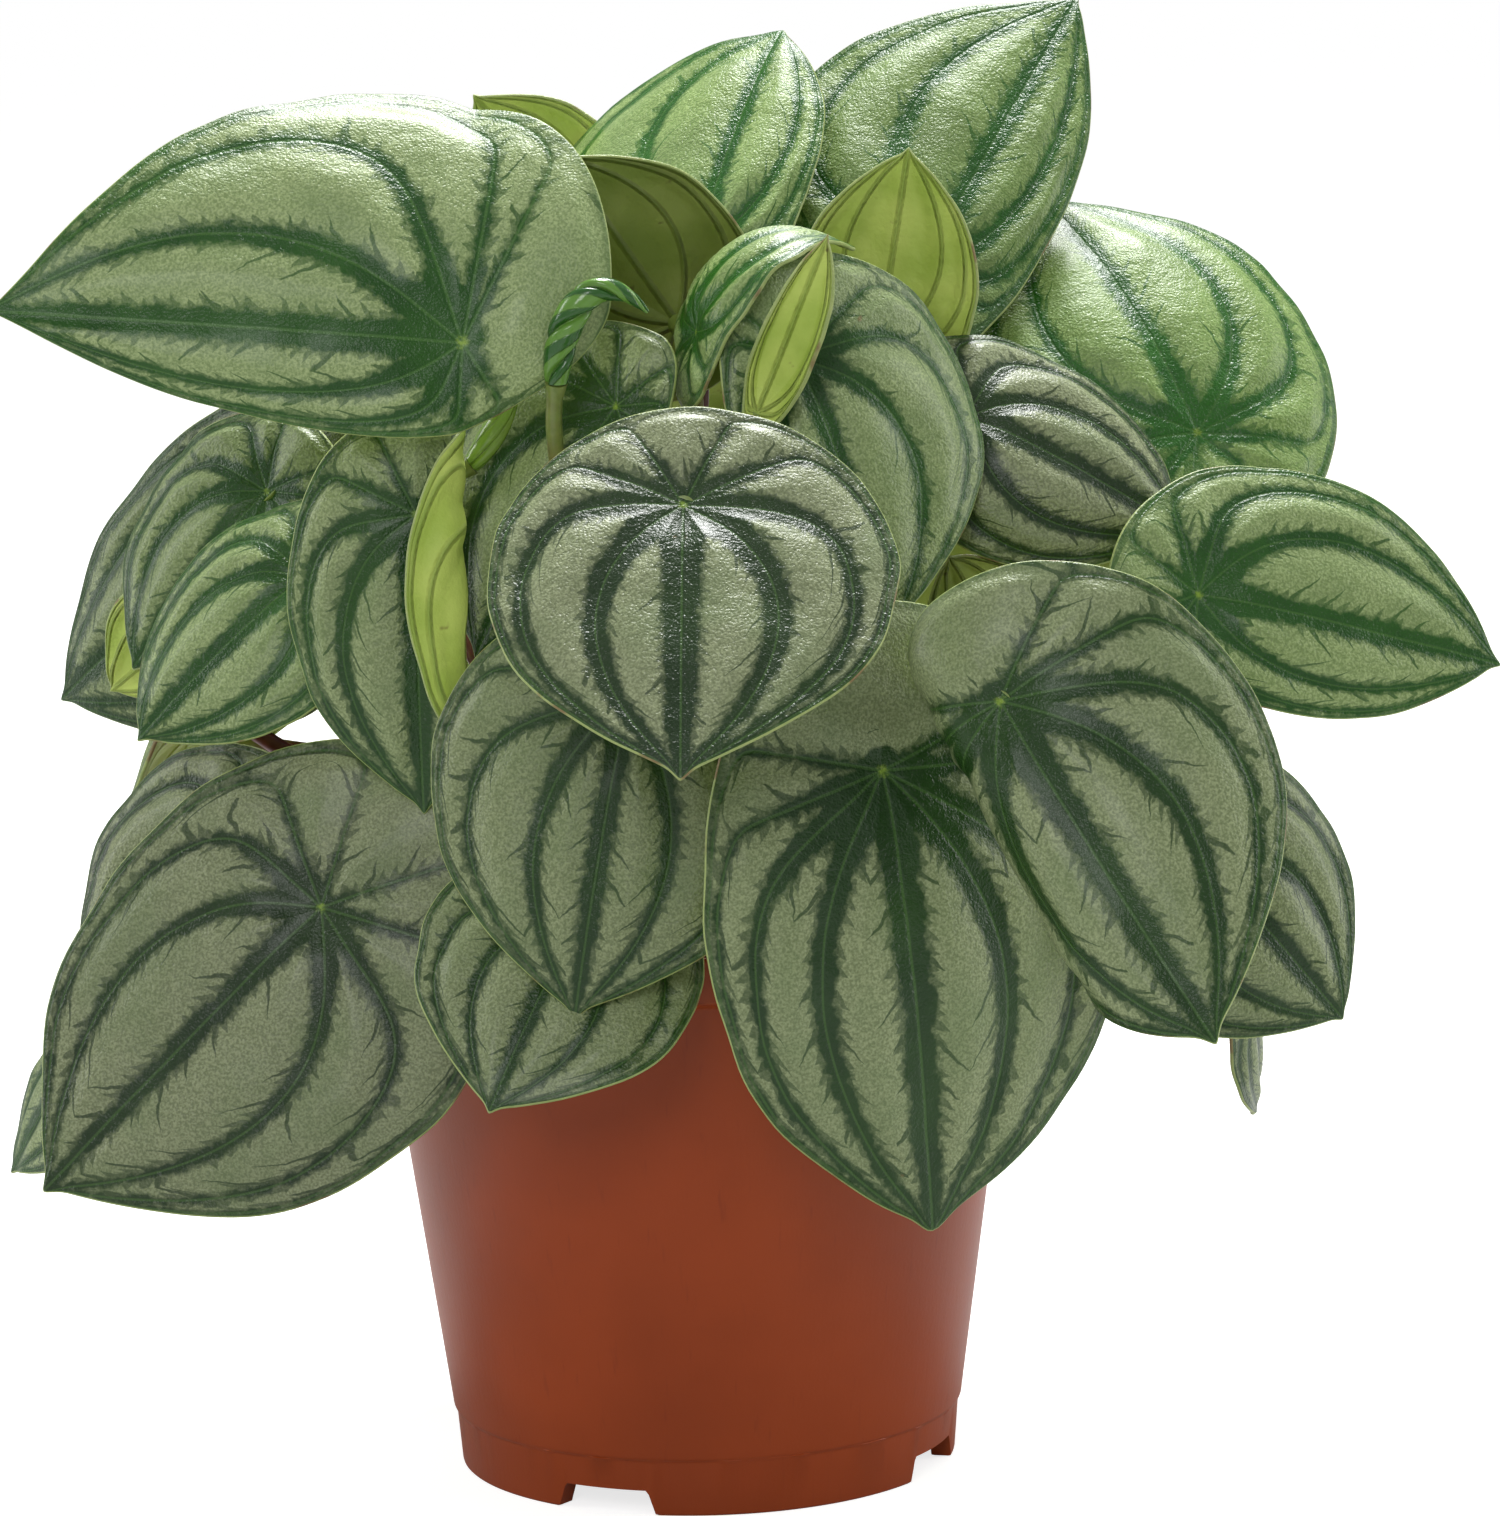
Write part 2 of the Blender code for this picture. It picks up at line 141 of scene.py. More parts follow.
def grain(tree, size, detail=2, place=None, stretch=None, rough=0.5):
    """Noise from 0 to 1 whose lumps are about size metres across."""
    node = tree.nodes.new("ShaderNodeTexNoise")
    if place is None:
        place = tree.nodes.new("ShaderNodeTexCoord").outputs["Object"]
    if stretch:
        turned = tree.nodes.new("ShaderNodeMapping")
        turned.inputs["Scale"].default_value = stretch
        tree.links.new(place, turned.inputs["Vector"])
        place = turned.outputs["Vector"]
    tree.links.new(place, node.inputs["Vector"])
    node.inputs["Scale"].default_value = 1 / size
    node.inputs["Detail"].default_value = detail
    node.inputs["Roughness"].default_value = rough
    return Quantity(tree, node.outputs[0])


def blend(tree, share, first, second):
    """Mix of two colours."""
    node = tree.nodes.new("ShaderNodeMix")
    node.data_type = "RGBA"
    for index, value in ((0, share), (6, first), (7, second)):
        feed(tree, value, node.inputs[index])
    return node.outputs[2]


def finish_of(name, roughness=0.5, **settings):
    """New material and its shader. Settings are constants on the shader's own sockets."""
    made = bpy.data.materials.new(name)
    made.use_nodes = True
    shader = made.node_tree.nodes["Principled BSDF"]
    shader.inputs["Roughness"].default_value = roughness
    for entry, value in settings.items():
        shader.inputs[entry.replace("_", " ")].default_value = value
    return made, made.node_tree, shader


def bump(tree, shader, *layers):
    """Stack bumps on a shader. Each layer is a height from 0 to 1 and its depth in metres."""
    last = None
    for height, depth in layers:
        node = tree.nodes.new("ShaderNodeBump")
        node.inputs["Distance"].default_value = depth
        feed(tree, height, node.inputs["Height"])
        if last:
            tree.links.new(last.outputs["Normal"], node.inputs["Normal"])
        last = node
    tree.links.new(last.outputs["Normal"], shader.inputs["Normal"])


def paint(tree, shader, colour):
    tree.links.new(colour, shader.inputs["Base Color"])


def keep(piece, material_slot, *nodes):
    """Attach a finished piece to the root body and hide the model's parts that it replaces."""
    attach(piece, "root")
    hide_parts(*nodes)


def moulded_plastic():
    made, tree, shader = finish_of("moulded_plastic", 0.36, Specular_IOR_Level=0.32)
    patch = grain(tree, 0.03, 3)
    fine = grain(tree, 0.0006, 2)
    drawn = grain(tree, 0.0012, 2, stretch=(1, 1, 0.05))
    colour = blend(tree, step(patch, 0.35, 0.7), srgb(142, 58, 18), srgb(152, 63, 21))
    colour = blend(tree, step(drawn, 0.62, 0.8) * 0.25, colour, srgb(104, 36, 18))
    paint(tree, shader, colour)
    feed(tree, 0.33 + patch * 0.1 + fine * 0.06, shader.inputs["Roughness"])
    bump(tree, shader, (fine, 0.00002), (drawn, 0.00002))
    return made


def soften(profile, radius, steps=3):
    """Round every corner of a closed profile."""
    made = []
    for index, corner in enumerate(profile):
        corner = np.array(corner, float)
        ends = [np.array(profile[(index + k) % len(profile)], float) - corner for k in (-1, 1)]
        cut = [corner + e / np.linalg.norm(e) * min(radius, 0.4 * np.linalg.norm(e)) for e in ends]
        for share in np.linspace(0, 1, steps + 1):
            made.append(cut[0] * (1 - share) ** 2 + 2 * corner * share * (1 - share) + cut[1] * share ** 2)
    return np.array(made)


MM = 0.001
scene = bpy.context.scene
pot_high = np.array(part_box("pot")[1]) / MM
POT_HEIGHT = pot_high[2]
POT_SIDES = 480
MOULD_CORNER = 0.5
RIM_LIP = 2.6
RIM_DEPTH = 9.0
RIM_SLOPE = 1.0
RIM_STEP_LOW = 1.4
RIM_STEP_HIGH = 2.6
RIM_STEP_IN = 0.4
WALL = 1.6
WALL_SLOPE = 0.14
SEAM_HEIGHT = 9.5
SEAM_STEP = 0.5
SEAM_BAND = 0.3
FLASH_REACH = 0.5
FLASH_FROM = 0.45
FLASH_RUN = 4
FOOT_FLARE = 0.8
FOOT_WIDTH = 3.4
FLOOR_UNDER = 5.0
FLOOR_TOP = 7.0
PAD_RADIUS = 14.0
PAD_SLOPE = 3.0
PAD_STEP = 1.0
PAD_TOP = 2.0
NOTCH_BEARINGS = (-114.0, -24.0, 66.0, 156.0)
NOTCH_WIDTH = 16.5
NOTCH_HEIGHT = 4.2
NOTCH_RAMP = 1.4
NOTCH_MARGIN = 0.7
NOTCH_TAPER = 0.12
rim_base = POT_HEIGHT - RIM_DEPTH
seam_radius = pot_high[0] - RIM_LIP - WALL_SLOPE * (POT_HEIGHT - SEAM_HEIGHT) - SEAM_STEP
foot_radius = seam_radius - FOOT_FLARE


def wall_radius(height):
    return seam_radius + SEAM_STEP + WALL_SLOPE * (height - SEAM_HEIGHT)


def notch_lift(turns):
    """How far the foot's lower edge is raised at each bearing round the pot."""
    lift = np.zeros(len(turns))
    for bearing in NOTCH_BEARINGS:
        off = np.abs((turns - math.radians(bearing) + math.pi) % (2 * math.pi) - math.pi) * foot_radius
        lift = np.maximum(lift, NOTCH_HEIGHT * np.clip((NOTCH_WIDTH / 2 - off) / NOTCH_RAMP + 0.5, 0, 1))
    return lift


def seam_flash(seed):
    """Thin beads of plastic that the mould's joint leaves here and there round the seam."""
    beads = np.repeat(np.random.default_rng(seed).random(POT_SIDES // FLASH_RUN), FLASH_RUN)
    beads = np.convolve(beads, np.ones(FLASH_RUN + 1) / (FLASH_RUN + 1), "same")
    return FLASH_REACH * np.clip(beads - FLASH_FROM, 0, 1)


def make_pot():
    corners = [
        (PAD_RADIUS, 0.0), (PAD_RADIUS + PAD_SLOPE, FLOOR_UNDER), (foot_radius - FOOT_WIDTH, FLOOR_UNDER),
        (foot_radius - FOOT_WIDTH, 0.0), (foot_radius, 0.0), (seam_radius, SEAM_HEIGHT),
        (wall_radius(SEAM_HEIGHT), SEAM_HEIGHT + SEAM_STEP), (wall_radius(rim_base), rim_base),
        (wall_radius(rim_base) + RIM_LIP, rim_base + RIM_SLOPE),
        (wall_radius(POT_HEIGHT) + RIM_LIP, POT_HEIGHT),
        (wall_radius(POT_HEIGHT) + RIM_LIP - WALL, POT_HEIGHT),
        (wall_radius(rim_base) + RIM_LIP - WALL - RIM_STEP_IN, rim_base + RIM_STEP_HIGH),
        (wall_radius(rim_base) - WALL, rim_base + RIM_STEP_LOW),
        (wall_radius(FLOOR_TOP) - WALL, FLOOR_TOP), (PAD_RADIUS + PAD_SLOPE + PAD_STEP, FLOOR_TOP),
        (PAD_RADIUS + PAD_STEP, PAD_TOP),
    ]
    profile = soften(corners, MOULD_CORNER)
    turns = np.arange(POT_SIDES) / POT_SIDES * 2 * math.pi
    lift = notch_lift(turns)
    flash = seam_flash(11)
    rings = []
    for radius, height in profile:
        heights = np.full(POT_SIDES, height)
        reach = np.full(POT_SIDES, radius)
        in_foot = foot_radius - FOOT_WIDTH - 1 < radius < seam_radius
        if in_foot and height < NOTCH_HEIGHT + NOTCH_MARGIN:
            heights = np.maximum(heights, lift + NOTCH_TAPER * height)
        if abs(height - SEAM_HEIGHT) < SEAM_BAND and radius > foot_radius:
            reach = reach + flash
        rings.append(np.stack([reach * np.cos(turns), reach * np.sin(turns), heights], 1))
    points = np.concatenate(rings + [[(0, 0, 0)], [(0, 0, PAD_TOP)]])
    count = len(profile)
    faces = []
    for j in range(count - 1):
        for k in range(POT_SIDES):
            after = (k + 1) % POT_SIDES
            faces.append((j * POT_SIDES + k, j * POT_SIDES + after, (j + 1) * POT_SIDES + after,
                          (j + 1) * POT_SIDES + k))
    last = (count - 1) * POT_SIDES
    for k in range(POT_SIDES):
        after = (k + 1) % POT_SIDES
        faces.append((count * POT_SIDES, after, k))
        faces.append((count * POT_SIDES + 1, last + k, last + after))
    mesh = bpy.data.meshes.new("pot_shell")
    mesh.from_pydata((points * MM).tolist(), [], faces)
    mesh.shade_smooth()
    mesh.materials.append(moulded_plastic())
    mesh.set_sharp_from_angle(angle=math.radians(40))
    piece = bpy.data.objects.new("pot_shell", mesh)
    scene.collection.objects.link(piece)
    return piece


pot = make_pot()
DRAIN_COUNT = 5
DRAIN_CIRCLE = 28.0
DRAIN_RADIUS = 3.6
DRAIN_TURN = 0.07
DRAIN_SIDES = 40
DRILL_LENGTH = 10.0
DRILL_MIDDLE = 6.0
drills = []
for index in range(DRAIN_COUNT):
    turn = DRAIN_TURN + index * 2 * math.pi / DRAIN_COUNT
    bpy.ops.mesh.primitive_cylinder_add(
        vertices=DRAIN_SIDES, radius=DRAIN_RADIUS * MM, depth=DRILL_LENGTH * MM,
        location=(DRAIN_CIRCLE * MM * math.cos(turn), DRAIN_CIRCLE * MM * math.sin(turn), DRILL_MIDDLE * MM))
    drill = bpy.context.object
    drill.hide_render = True
    drills.append(drill)
    hole = pot.modifiers.new("hole", "BOOLEAN")
    hole.solver = "EXACT"
    hole.object = drill
graph = bpy.context.evaluated_depsgraph_get()
bored = bpy.data.meshes.new_from_object(pot.evaluated_get(graph), depsgraph=graph)
pot.modifiers.clear()
pot.data = bored
for drill in drills:
    bpy.data.objects.remove(drill)
keep(pot, "pot", "pot")

# ---------------------------------------------------------------------------------------------
# Soil: dark potting mix that fills the pot to below its rim, loose on top. The crumbs are bits
# of peat and bark lying on it, with a few white grains of perlite.


def tree_with(name, inputs, geometry_in=False):
    """New geometry tree with named inputs, given as name: default."""
    tree = bpy.data.node_groups.new(name, "GeometryNodeTree")
    if geometry_in:
        tree.interface.new_socket(name="Geometry", in_out="INPUT", socket_type="NodeSocketGeometry")
    for entry, value in inputs.items():
        kind = "NodeSocketVector" if isinstance(value, tuple) else "NodeSocketFloat"
        socket = tree.interface.new_socket(name=entry, in_out="INPUT", socket_type=kind)
        socket.default_value = value
    tree.interface.new_socket(name="Geometry", in_out="OUTPUT", socket_type="NodeSocketGeometry")
    source = tree.nodes.new("NodeGroupInput")
    return tree, source, {entry: Quantity(tree, source.outputs[entry]) for entry in inputs}


def node(tree, kind, settings=None, **entries):
    """New node with its inputs fed by name."""
    made = tree.nodes.new(kind)
    for key, value in (settings or {}).items():
        setattr(made, key, value)
    for entry, value in entries.items():
        feed(tree, value, made.inputs[entry.replace("_", " ")])
    return made


def close_tree(tree, geometry, material=None):
    """End a tree with real geometry in its material."""
    geometry = node(tree, "GeometryNodeRealizeInstances", Geometry=geometry).outputs[0]
    if material:
        geometry = node(tree, "GeometryNodeSetMaterial", Geometry=geometry, Material=material).outputs[0]
    tree.links.new(geometry, tree.nodes.new("NodeGroupOutput").inputs[0])


def grown(name, tree, inputs, start=None):
    """Run a tree once and return its result as a plain mesh object."""
    host = bpy.data.objects.new(name, start or bpy.data.meshes.new(name))
    scene.collection.objects.link(host)
    modifier = host.modifiers.new("grow", "NODES")
    modifier.node_group = tree
    for entry in tree.interface.items_tree:
        if entry.in_out == "INPUT" and entry.name in inputs:
            modifier[entry.identifier] = inputs[entry.name]
    graph = bpy.context.evaluated_depsgraph_get()
    mesh = bpy.data.meshes.new_from_object(host.evaluated_get(graph), preserve_all_data_layers=True,
                                           depsgraph=graph)
    bpy.data.objects.remove(host)
    made = bpy.data.objects.new(name, mesh)
    mesh.name = name
    scene.collection.objects.link(made)
    return made


SOIL_SIDES = 128
SOIL_RINGS = 46
SOIL_INSET = 0.2
FLOOR_GAP = 0.4
WALL_GAP = 0.8
HEAP = 2.0
HEAP_BELOW = 2.3
DENTS = 18
DENT_RATE = 0.35
DENT_DEPTH = 0.12
MIX_SHARE = 0.985
ANY_TURN = (6.28, 6.28, 6.28)
SMALL_CRUMB = (0.35, 0.35, 0.25)
LARGE_CRUMB = (1.3, 0.9, 0.7)


def potting_mix():
    made, tree, shader = finish_of("potting_mix", 0.9, Specular_IOR_Level=0.2)
    lumps = grain(tree, 0.004, 4)
    fine = grain(tree, 0.0007, 3)
    colour = blend(tree, step(lumps, 0.35, 0.7), srgb(34, 24, 18), srgb(74, 54, 40))
    colour = blend(tree, step(fine, 0.6, 0.8) * 0.6, colour, srgb(104, 82, 62))
    paint(tree, shader, colour)
    bump(tree, shader, (lumps, 0.0012), (fine, 0.0004))
    return made


def crumbs_tree(soil_finish, perlite):
    tree, source, size = tree_with("crumbs", {"Each Square Metre": 180000.0, "Crumb": 0.0011}, True)
    top = node(tree, "GeometryNodeInputNormal")
    up = Quantity(tree, node(tree, "ShaderNodeSeparateXYZ", Vector=top.outputs[0]).outputs[2])
    spots = node(tree, "GeometryNodeDistributePointsOnFaces", Mesh=source.outputs["Geometry"],
                 Density=size["Each Square Metre"] * step(up, 0.5, 0.7), Seed=7)
    parts = []
    for low, high, material, seed in ((0.0, MIX_SHARE, soil_finish, 1), (MIX_SHARE, 1.0, perlite, 2)):
        pick = node(tree, "FunctionNodeRandomValue", Seed=5)
        share = Quantity(tree, pick.outputs[1])
        chosen = work("MULTIPLY", work("GREATER_THAN", share, low), work("LESS_THAN", share, high))
        crumb = node(tree, "GeometryNodeMeshIcoSphere", Radius=1.0, Subdivisions=1)
        crumb = node(tree, "GeometryNodeSetMaterial", Geometry=crumb.outputs[0], Material=material)
        turn = node(tree, "FunctionNodeRandomValue", {"data_type": "FLOAT_VECTOR"}, Seed=seed)
        turn.inputs[1].default_value = ANY_TURN
        grow = node(tree, "FunctionNodeRandomValue", {"data_type": "FLOAT_VECTOR"}, Seed=seed + 9)
        grow.inputs[0].default_value = SMALL_CRUMB
        grow.inputs[1].default_value = LARGE_CRUMB
        scaled = node(tree, "ShaderNodeVectorMath", {"operation": "SCALE"}, Vector=grow.outputs[0],
                      Scale=size["Crumb"])
        placed = node(tree, "GeometryNodeInstanceOnPoints", Points=spots.outputs[0], Selection=chosen,
                      Instance=crumb.outputs[0], Rotation=turn.outputs[0], Scale=scaled.outputs[0])
        parts.append(placed.outputs[0])
    joined = tree.nodes.new("GeometryNodeJoinGeometry")
    for part in [source.outputs["Geometry"]] + parts:
        tree.links.new(part, joined.inputs[0])
    close_tree(tree, joined.outputs[0])
    return tree


def make_soil():
    high = np.array(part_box("soil")[1]) / MM
    radius = high[0] - SOIL_INSET
    under = FLOOR_TOP + FLOOR_GAP
    rings = [(radius * 0.3, under), (wall_radius(FLOOR_TOP) - WALL - WALL_GAP, under)]
    sides = SOIL_SIDES
    turns = np.arange(sides) / sides * 2 * math.pi
    for share in np.linspace(1, 0.02, SOIL_RINGS):
        rings.append((radius * share, high[2] - HEAP_BELOW + HEAP * (1 - share ** 2)))
    points = []
    draw = np.random.default_rng(5)
    waves = [(draw.uniform(-DENT_RATE, DENT_RATE, 2), draw.uniform(0, 6.28)) for _ in range(DENTS)]
    for radius_here, height in rings:
        flat = np.stack([radius_here * np.cos(turns), radius_here * np.sin(turns)], 1)
        rough = sum(np.sin(flat @ wave + start) for wave, start in waves) * DENT_DEPTH
        rough = rough if height > FLOOR_TOP + 1 and radius_here < radius - 0.5 else 0 * rough
        points.append(np.column_stack([flat, height + rough]))
    faces = []
    for j in range(len(rings) - 1):
        for k in range(sides):
            after = (k + 1) % sides
            faces.append((j * sides + k, j * sides + after, (j + 1) * sides + after, (j + 1) * sides + k))
    faces.append(tuple(range(sides))[::-1])
    faces.append(tuple(range((len(rings) - 1) * sides, len(rings) * sides)))
    mesh = bpy.data.meshes.new("soil_bed")
    mesh.from_pydata((np.concatenate(points) * MM).tolist(), [], faces)
    mix = potting_mix()
    mesh.materials.append(mix)
    mesh.shade_smooth()
    perlite, tree, shader = finish_of("perlite", 0.9)
    paint(tree, shader, blend(tree, grain(tree, 0.0005), srgb(190, 186, 176), srgb(235, 232, 225)))
    return grown("potting_soil", crumbs_tree(mix, perlite), {}, mesh)


keep(make_soil(), "soil", "soil")

# ---------------------------------------------------------------------------------------------
# Leaves: fleshy shield-shaped blades, each carried by a stalk that joins it inside its margin.
# The veins run from that joint to the tip, sunk between puffed silver bands and edged in dark
# green. The underside is matt and pale, and the margin is a thin paler bead, brown where dry.

# Veins of one half, from the middle outwards: the angle at which each leaves the stalk, how late
# it turns to the tip, and half the width of its dark stripe in millimetres.
VEINS = ((0.0, 1.0, 3.1), (50.0, 2.2, 2.9), (84.0, 6.0, 2.4), (118.0, 18.0, 1.5), (150.0, 30.0, 0.9))
FULL_SIZE = 66.0
BLADE_THICK = 0.8
BEAD = 0.55
BEAD_RINGS = 3
RAYS = 152
RINGS = 34
BEAD_START = 1 - BEAD_RINGS / RINGS
TIP_START = 0.7
TIP_PINCH = 0.4
NIB = 0.03
NIB_SHARPNESS = 60.0
BASE_ROUND = 0.5
MARGIN_WOBBLE = 0.07
PUFF_RISE = 0.05
DIMPLE_DEPTH = 1.3
DIMPLE_FADE = 0.02
MARGIN_WAVE = 3.0
SWELL_HEIGHT = 1.6
SWELL_SIZE = 14.0
LEAF_INPUTS = {
    "Length": 60.0, "Width": 0.5, "Arch": 0.2, "Back": 0.2, "Cup": 0.2, "Twist": 0.0, "Lean": 0.0,
    "Taper": 0.62, "Base": 0.37, "Skew": 0.0, "Roll Side": 0.0, "Roll Start": 1.0, "Roll Angle": 0.0,
    "Roll Radius": 5.0, "Ripple": 0.8, "Fan": 1.0, "Stripe": 1.0, "Tone": 1.0, "Tint": 0.0, "Seed": 0.0,
}


def store(tree, geometry, name, value, kind="FLOAT"):
    """Write a value on a geometry's points, under a name that its material can read."""
    return node(tree, "GeometryNodeStoreNamedAttribute", {"data_type": kind}, Geometry=geometry, Name=name,
                Value=value).outputs[0]


def told(tree, name):
    """What a mesh's own attribute says at a point."""
    return Quantity(tree, node(tree, "ShaderNodeAttribute", {"attribute_name": name}).outputs["Fac"])


def around_rim(tree, turn, pace, offset):
    """Slow noise from -0.5 to 0.5 that closes on itself round a blade's margin."""
    spot = node(tree, "ShaderNodeCombineXYZ", X=work("SINE", turn) * pace + offset[0],
                Y=work("COSINE", turn) * pace, Z=offset[1])
    return grain(tree, 1.0, 1, spot.outputs[0]) - 0.5


def vein_gaps(ahead, side, share, fan, seed):
    """For each vein, the distance from its middle and on which side of it a point is."""
    reach = work("SQRT", ahead * ahead + side * side)
    turn = work("ARCTAN2", work("ABSOLUTE", side), ahead)
    half = work("SIGN", side)
    found = []
    for index, (start, late, _) in enumerate(VEINS):
        if index == 0:
            off = turn
            gap = work("MINIMUM", turn, 1.5) * reach
        else:
            stray = work("SINE", seed * 1.7 + half * 2.3 + index * 4.1) * 0.07
            leave = fan * math.radians(start) + stray
            bent = share ** late
            slope = leave * late * bent
            off = turn - leave * (1 - bent)
            gap = work("ABSOLUTE", off) * reach / work("SQRT", slope * slope + 1)
        found.append((gap, work("SIGN", off)))
    return found, reach, half


def bend(angle, curl, length):
    """Run, drop and end angle of an arc that starts at an angle."""
    end = angle + curl * length
    run = (work("SINE", end) - work("SINE", angle)) / curl
    drop = (work("COSINE", angle) - work("COSINE", end)) / curl
    return run, drop, end


def blade_outline(tree, size, turn, ring):
    """Where a grid point lies on the flat blade: ahead, across, how far out it is as a share of the
    reach to the margin, on which half, and its angle round the margin's bead."""
    side = work("SIGN", work("ROUND", turn * 1e5))
    share = (work("COSINE", turn) + 1) * 0.5
    widest = BASE_ROUND / (size["Taper"] + BASE_ROUND)
    most = widest ** BASE_ROUND * (1 - widest) ** size["Taper"]
    width = share ** BASE_ROUND * work("MAXIMUM", 1 - share, 0.0) ** size["Taper"] / most
    pinch = work("MAXIMUM", (share - TIP_START) / (1 - TIP_START), 0.0)
    width = width * (1 - TIP_PINCH * pinch * pinch)
    width = width * (1 + around_rim(tree, turn, 2.2, (size["Seed"], 0.0)) * MARGIN_WOBBLE)
    nib = work("EXPONENT", turn * turn * -NIB_SHARPNESS) * NIB
    out_ahead = ((size["Base"] + 1) * share - size["Base"] + nib) * size["Length"]
    out_side = side * width * size["Width"] * (side * size["Lean"] + 1) * size["Length"]
    rim = work("SQRT", out_ahead * out_ahead + out_side * out_side)
    inner = 1 - BEAD / rim
    edge = work("MAXIMUM", (ring - BEAD_START) / (1 - BEAD_START), 0.0) * (math.pi / 2)
    grow = work("MINIMUM", ring / BEAD_START, 1.0) * inner + (1 - inner) * work("SINE", edge)
    return out_ahead * grow, out_side * grow, grow, side, edge


def blade_relief(tree, size, turn, ahead, across, grow, scale):
    """How far the blade is raised: puffed bands between sunken veins, a dimple at the stalk, a
    waved margin and slow swells."""
    gaps, reach, _ = vein_gaps(ahead * scale, across * scale, grow, size["Fan"], size["Seed"])
    nearest = gaps[0][0]
    for gap, _ in gaps[1:]:
        nearest = work("MINIMUM", nearest, gap)
    puff = (1 - work("EXPONENT", nearest * nearest * -PUFF_RISE)) * step(grow, 1.0, 0.8)
    dimple = work("EXPONENT", reach * reach * -DIMPLE_FADE) * DIMPLE_DEPTH
    wave = around_rim(tree, turn, 1.6, (0.0, size["Seed"] + 3.3)) * size["Ripple"] * MARGIN_WAVE
    swell = grain(tree, SWELL_SIZE, 1, node(tree, "ShaderNodeCombineXYZ", X=ahead, Y=across,
                                            Z=size["Seed"] * 30.0).outputs[0]) - 0.5
    return puff - dimple + wave * grow ** 3 + swell * size["Ripple"] * SWELL_HEIGHT


def blade_section(size, side, across):
    """Run, drop and slope of the cross-section: an arc to the margin, with a tighter one where the
    margin is rolled over."""
    half = size["Width"] * size["Length"]
    spread = work("ABSOLUTE", across)
    curl = size["Cup"] / half
    rolls = work("COMPARE", side, size["Roll Side"], 0.5)
    start = size["Roll Start"] * half
    most = work("ABSOLUTE", size["Roll Angle"]) * size["Roll Radius"] * rolls
    lengths = (work("MINIMUM", spread, start),
               work("MINIMUM", work("MAXIMUM", spread - start, 0.0), most),
               work("MAXIMUM", spread - start - most, 0.0))
    tight = curl - work("SIGN", size["Roll Angle"]) / size["Roll Radius"]
    run, drop, angle = bend(curl * 0.0, curl, lengths[0])
    for curve, part in ((tight, lengths[1]), (curl, lengths[2])):
        more_run, more_drop, angle = bend(angle, curve, part)
        run = run + more_run
        drop = drop + more_drop
    return run, drop, angle


def leaf_tree(upper, under, bead):
    tree, _, size = tree_with("leaf", LEAF_INPUTS)
    length = size["Length"]
    grid = node(tree, "GeometryNodeMeshGrid", Size_X=1.0, Size_Y=1.0, Vertices_X=RAYS + 1,
                Vertices_Y=RINGS + 1)
    spot = node(tree, "ShaderNodeSeparateXYZ", Vector=tree.nodes.new("GeometryNodeInputPosition").outputs[0])
    turn = Quantity(tree, spot.outputs[0]) * (2 * math.pi)
    ring = Quantity(tree, spot.outputs[1]) + 0.5
    scale = (FULL_SIZE / length) ** 0.7
    ahead, across, grow, side, edge = blade_outline(tree, size, turn, ring)
    lift = blade_relief(tree, size, turn, ahead, across, grow, scale)
    run, drop, angle = blade_section(size, side, across)

    # Twist and droop along the blade.
    twist = size["Twist"] * ahead / length
    behind = work("LESS_THAN", ahead, 0.0)
    droop = (size["Arch"] * (1 - behind) + size["Back"] * behind) / length
    flat = node(tree, "ShaderNodeCombineXYZ", X=ahead * scale, Y=across * scale, Z=grow)
    looks = node(tree, "ShaderNodeCombineXYZ", X=size["Seed"], Y=size["Tone"], Z=size["Tint"])
    sway = size["Skew"] * work("MINIMUM", ahead, 0.0)
    parts = []
    for up, skin in ((1, upper), (-1, under)):
        height = lift + up * BLADE_THICK / 2 * work("COSINE", edge)
        left = side * run + height * side * work("SINE", angle) - sway
        out = height * work("COSINE", angle) - drop
        turned = left * work("COSINE", twist) - out * work("SINE", twist)
        raised = left * work("SINE", twist) + out * work("COSINE", twist)
        bow = 1 / droop + raised
        place = node(tree, "ShaderNodeCombineXYZ", X=bow * work("SINE", droop * ahead), Y=turned,
                     Z=bow * work("COSINE", droop * ahead) - 1 / droop)
        skinned = node(tree, "GeometryNodeSetMaterial", Geometry=grid.outputs["Mesh"], Material=skin)
        skinned = node(tree, "GeometryNodeSetMaterial", Geometry=skinned.outputs[0], Material=bead,
                       Selection=work("GREATER_THAN", ring, BEAD_START + 0.5 / RINGS))
        marked = store(tree, skinned.outputs[0], "flat", flat.outputs[0], "FLOAT_VECTOR")
        marked = store(tree, marked, "looks", looks.outputs[0], "FLOAT_VECTOR")
        marked = store(tree, marked, "fan", size["Fan"])
        marked = store(tree, marked, "stripe", size["Stripe"])
        moved = node(tree, "GeometryNodeSetPosition", Geometry=marked, Position=place.outputs[0])
        if up > 0:
            moved = node(tree, "GeometryNodeFlipFaces", Mesh=moved.outputs[0])
        parts.append(moved.outputs[0])
    joined = tree.nodes.new("GeometryNodeJoinGeometry")
    for part in parts:
        tree.links.new(part, joined.inputs[0])
    welded = node(tree, "GeometryNodeMergeByDistance", Geometry=joined.outputs[0], Distance=1e-4)
    smooth = node(tree, "GeometryNodeSetShadeSmooth", Geometry=welded.outputs[0])
    close_tree(tree, smooth.outputs[0])
    return tree


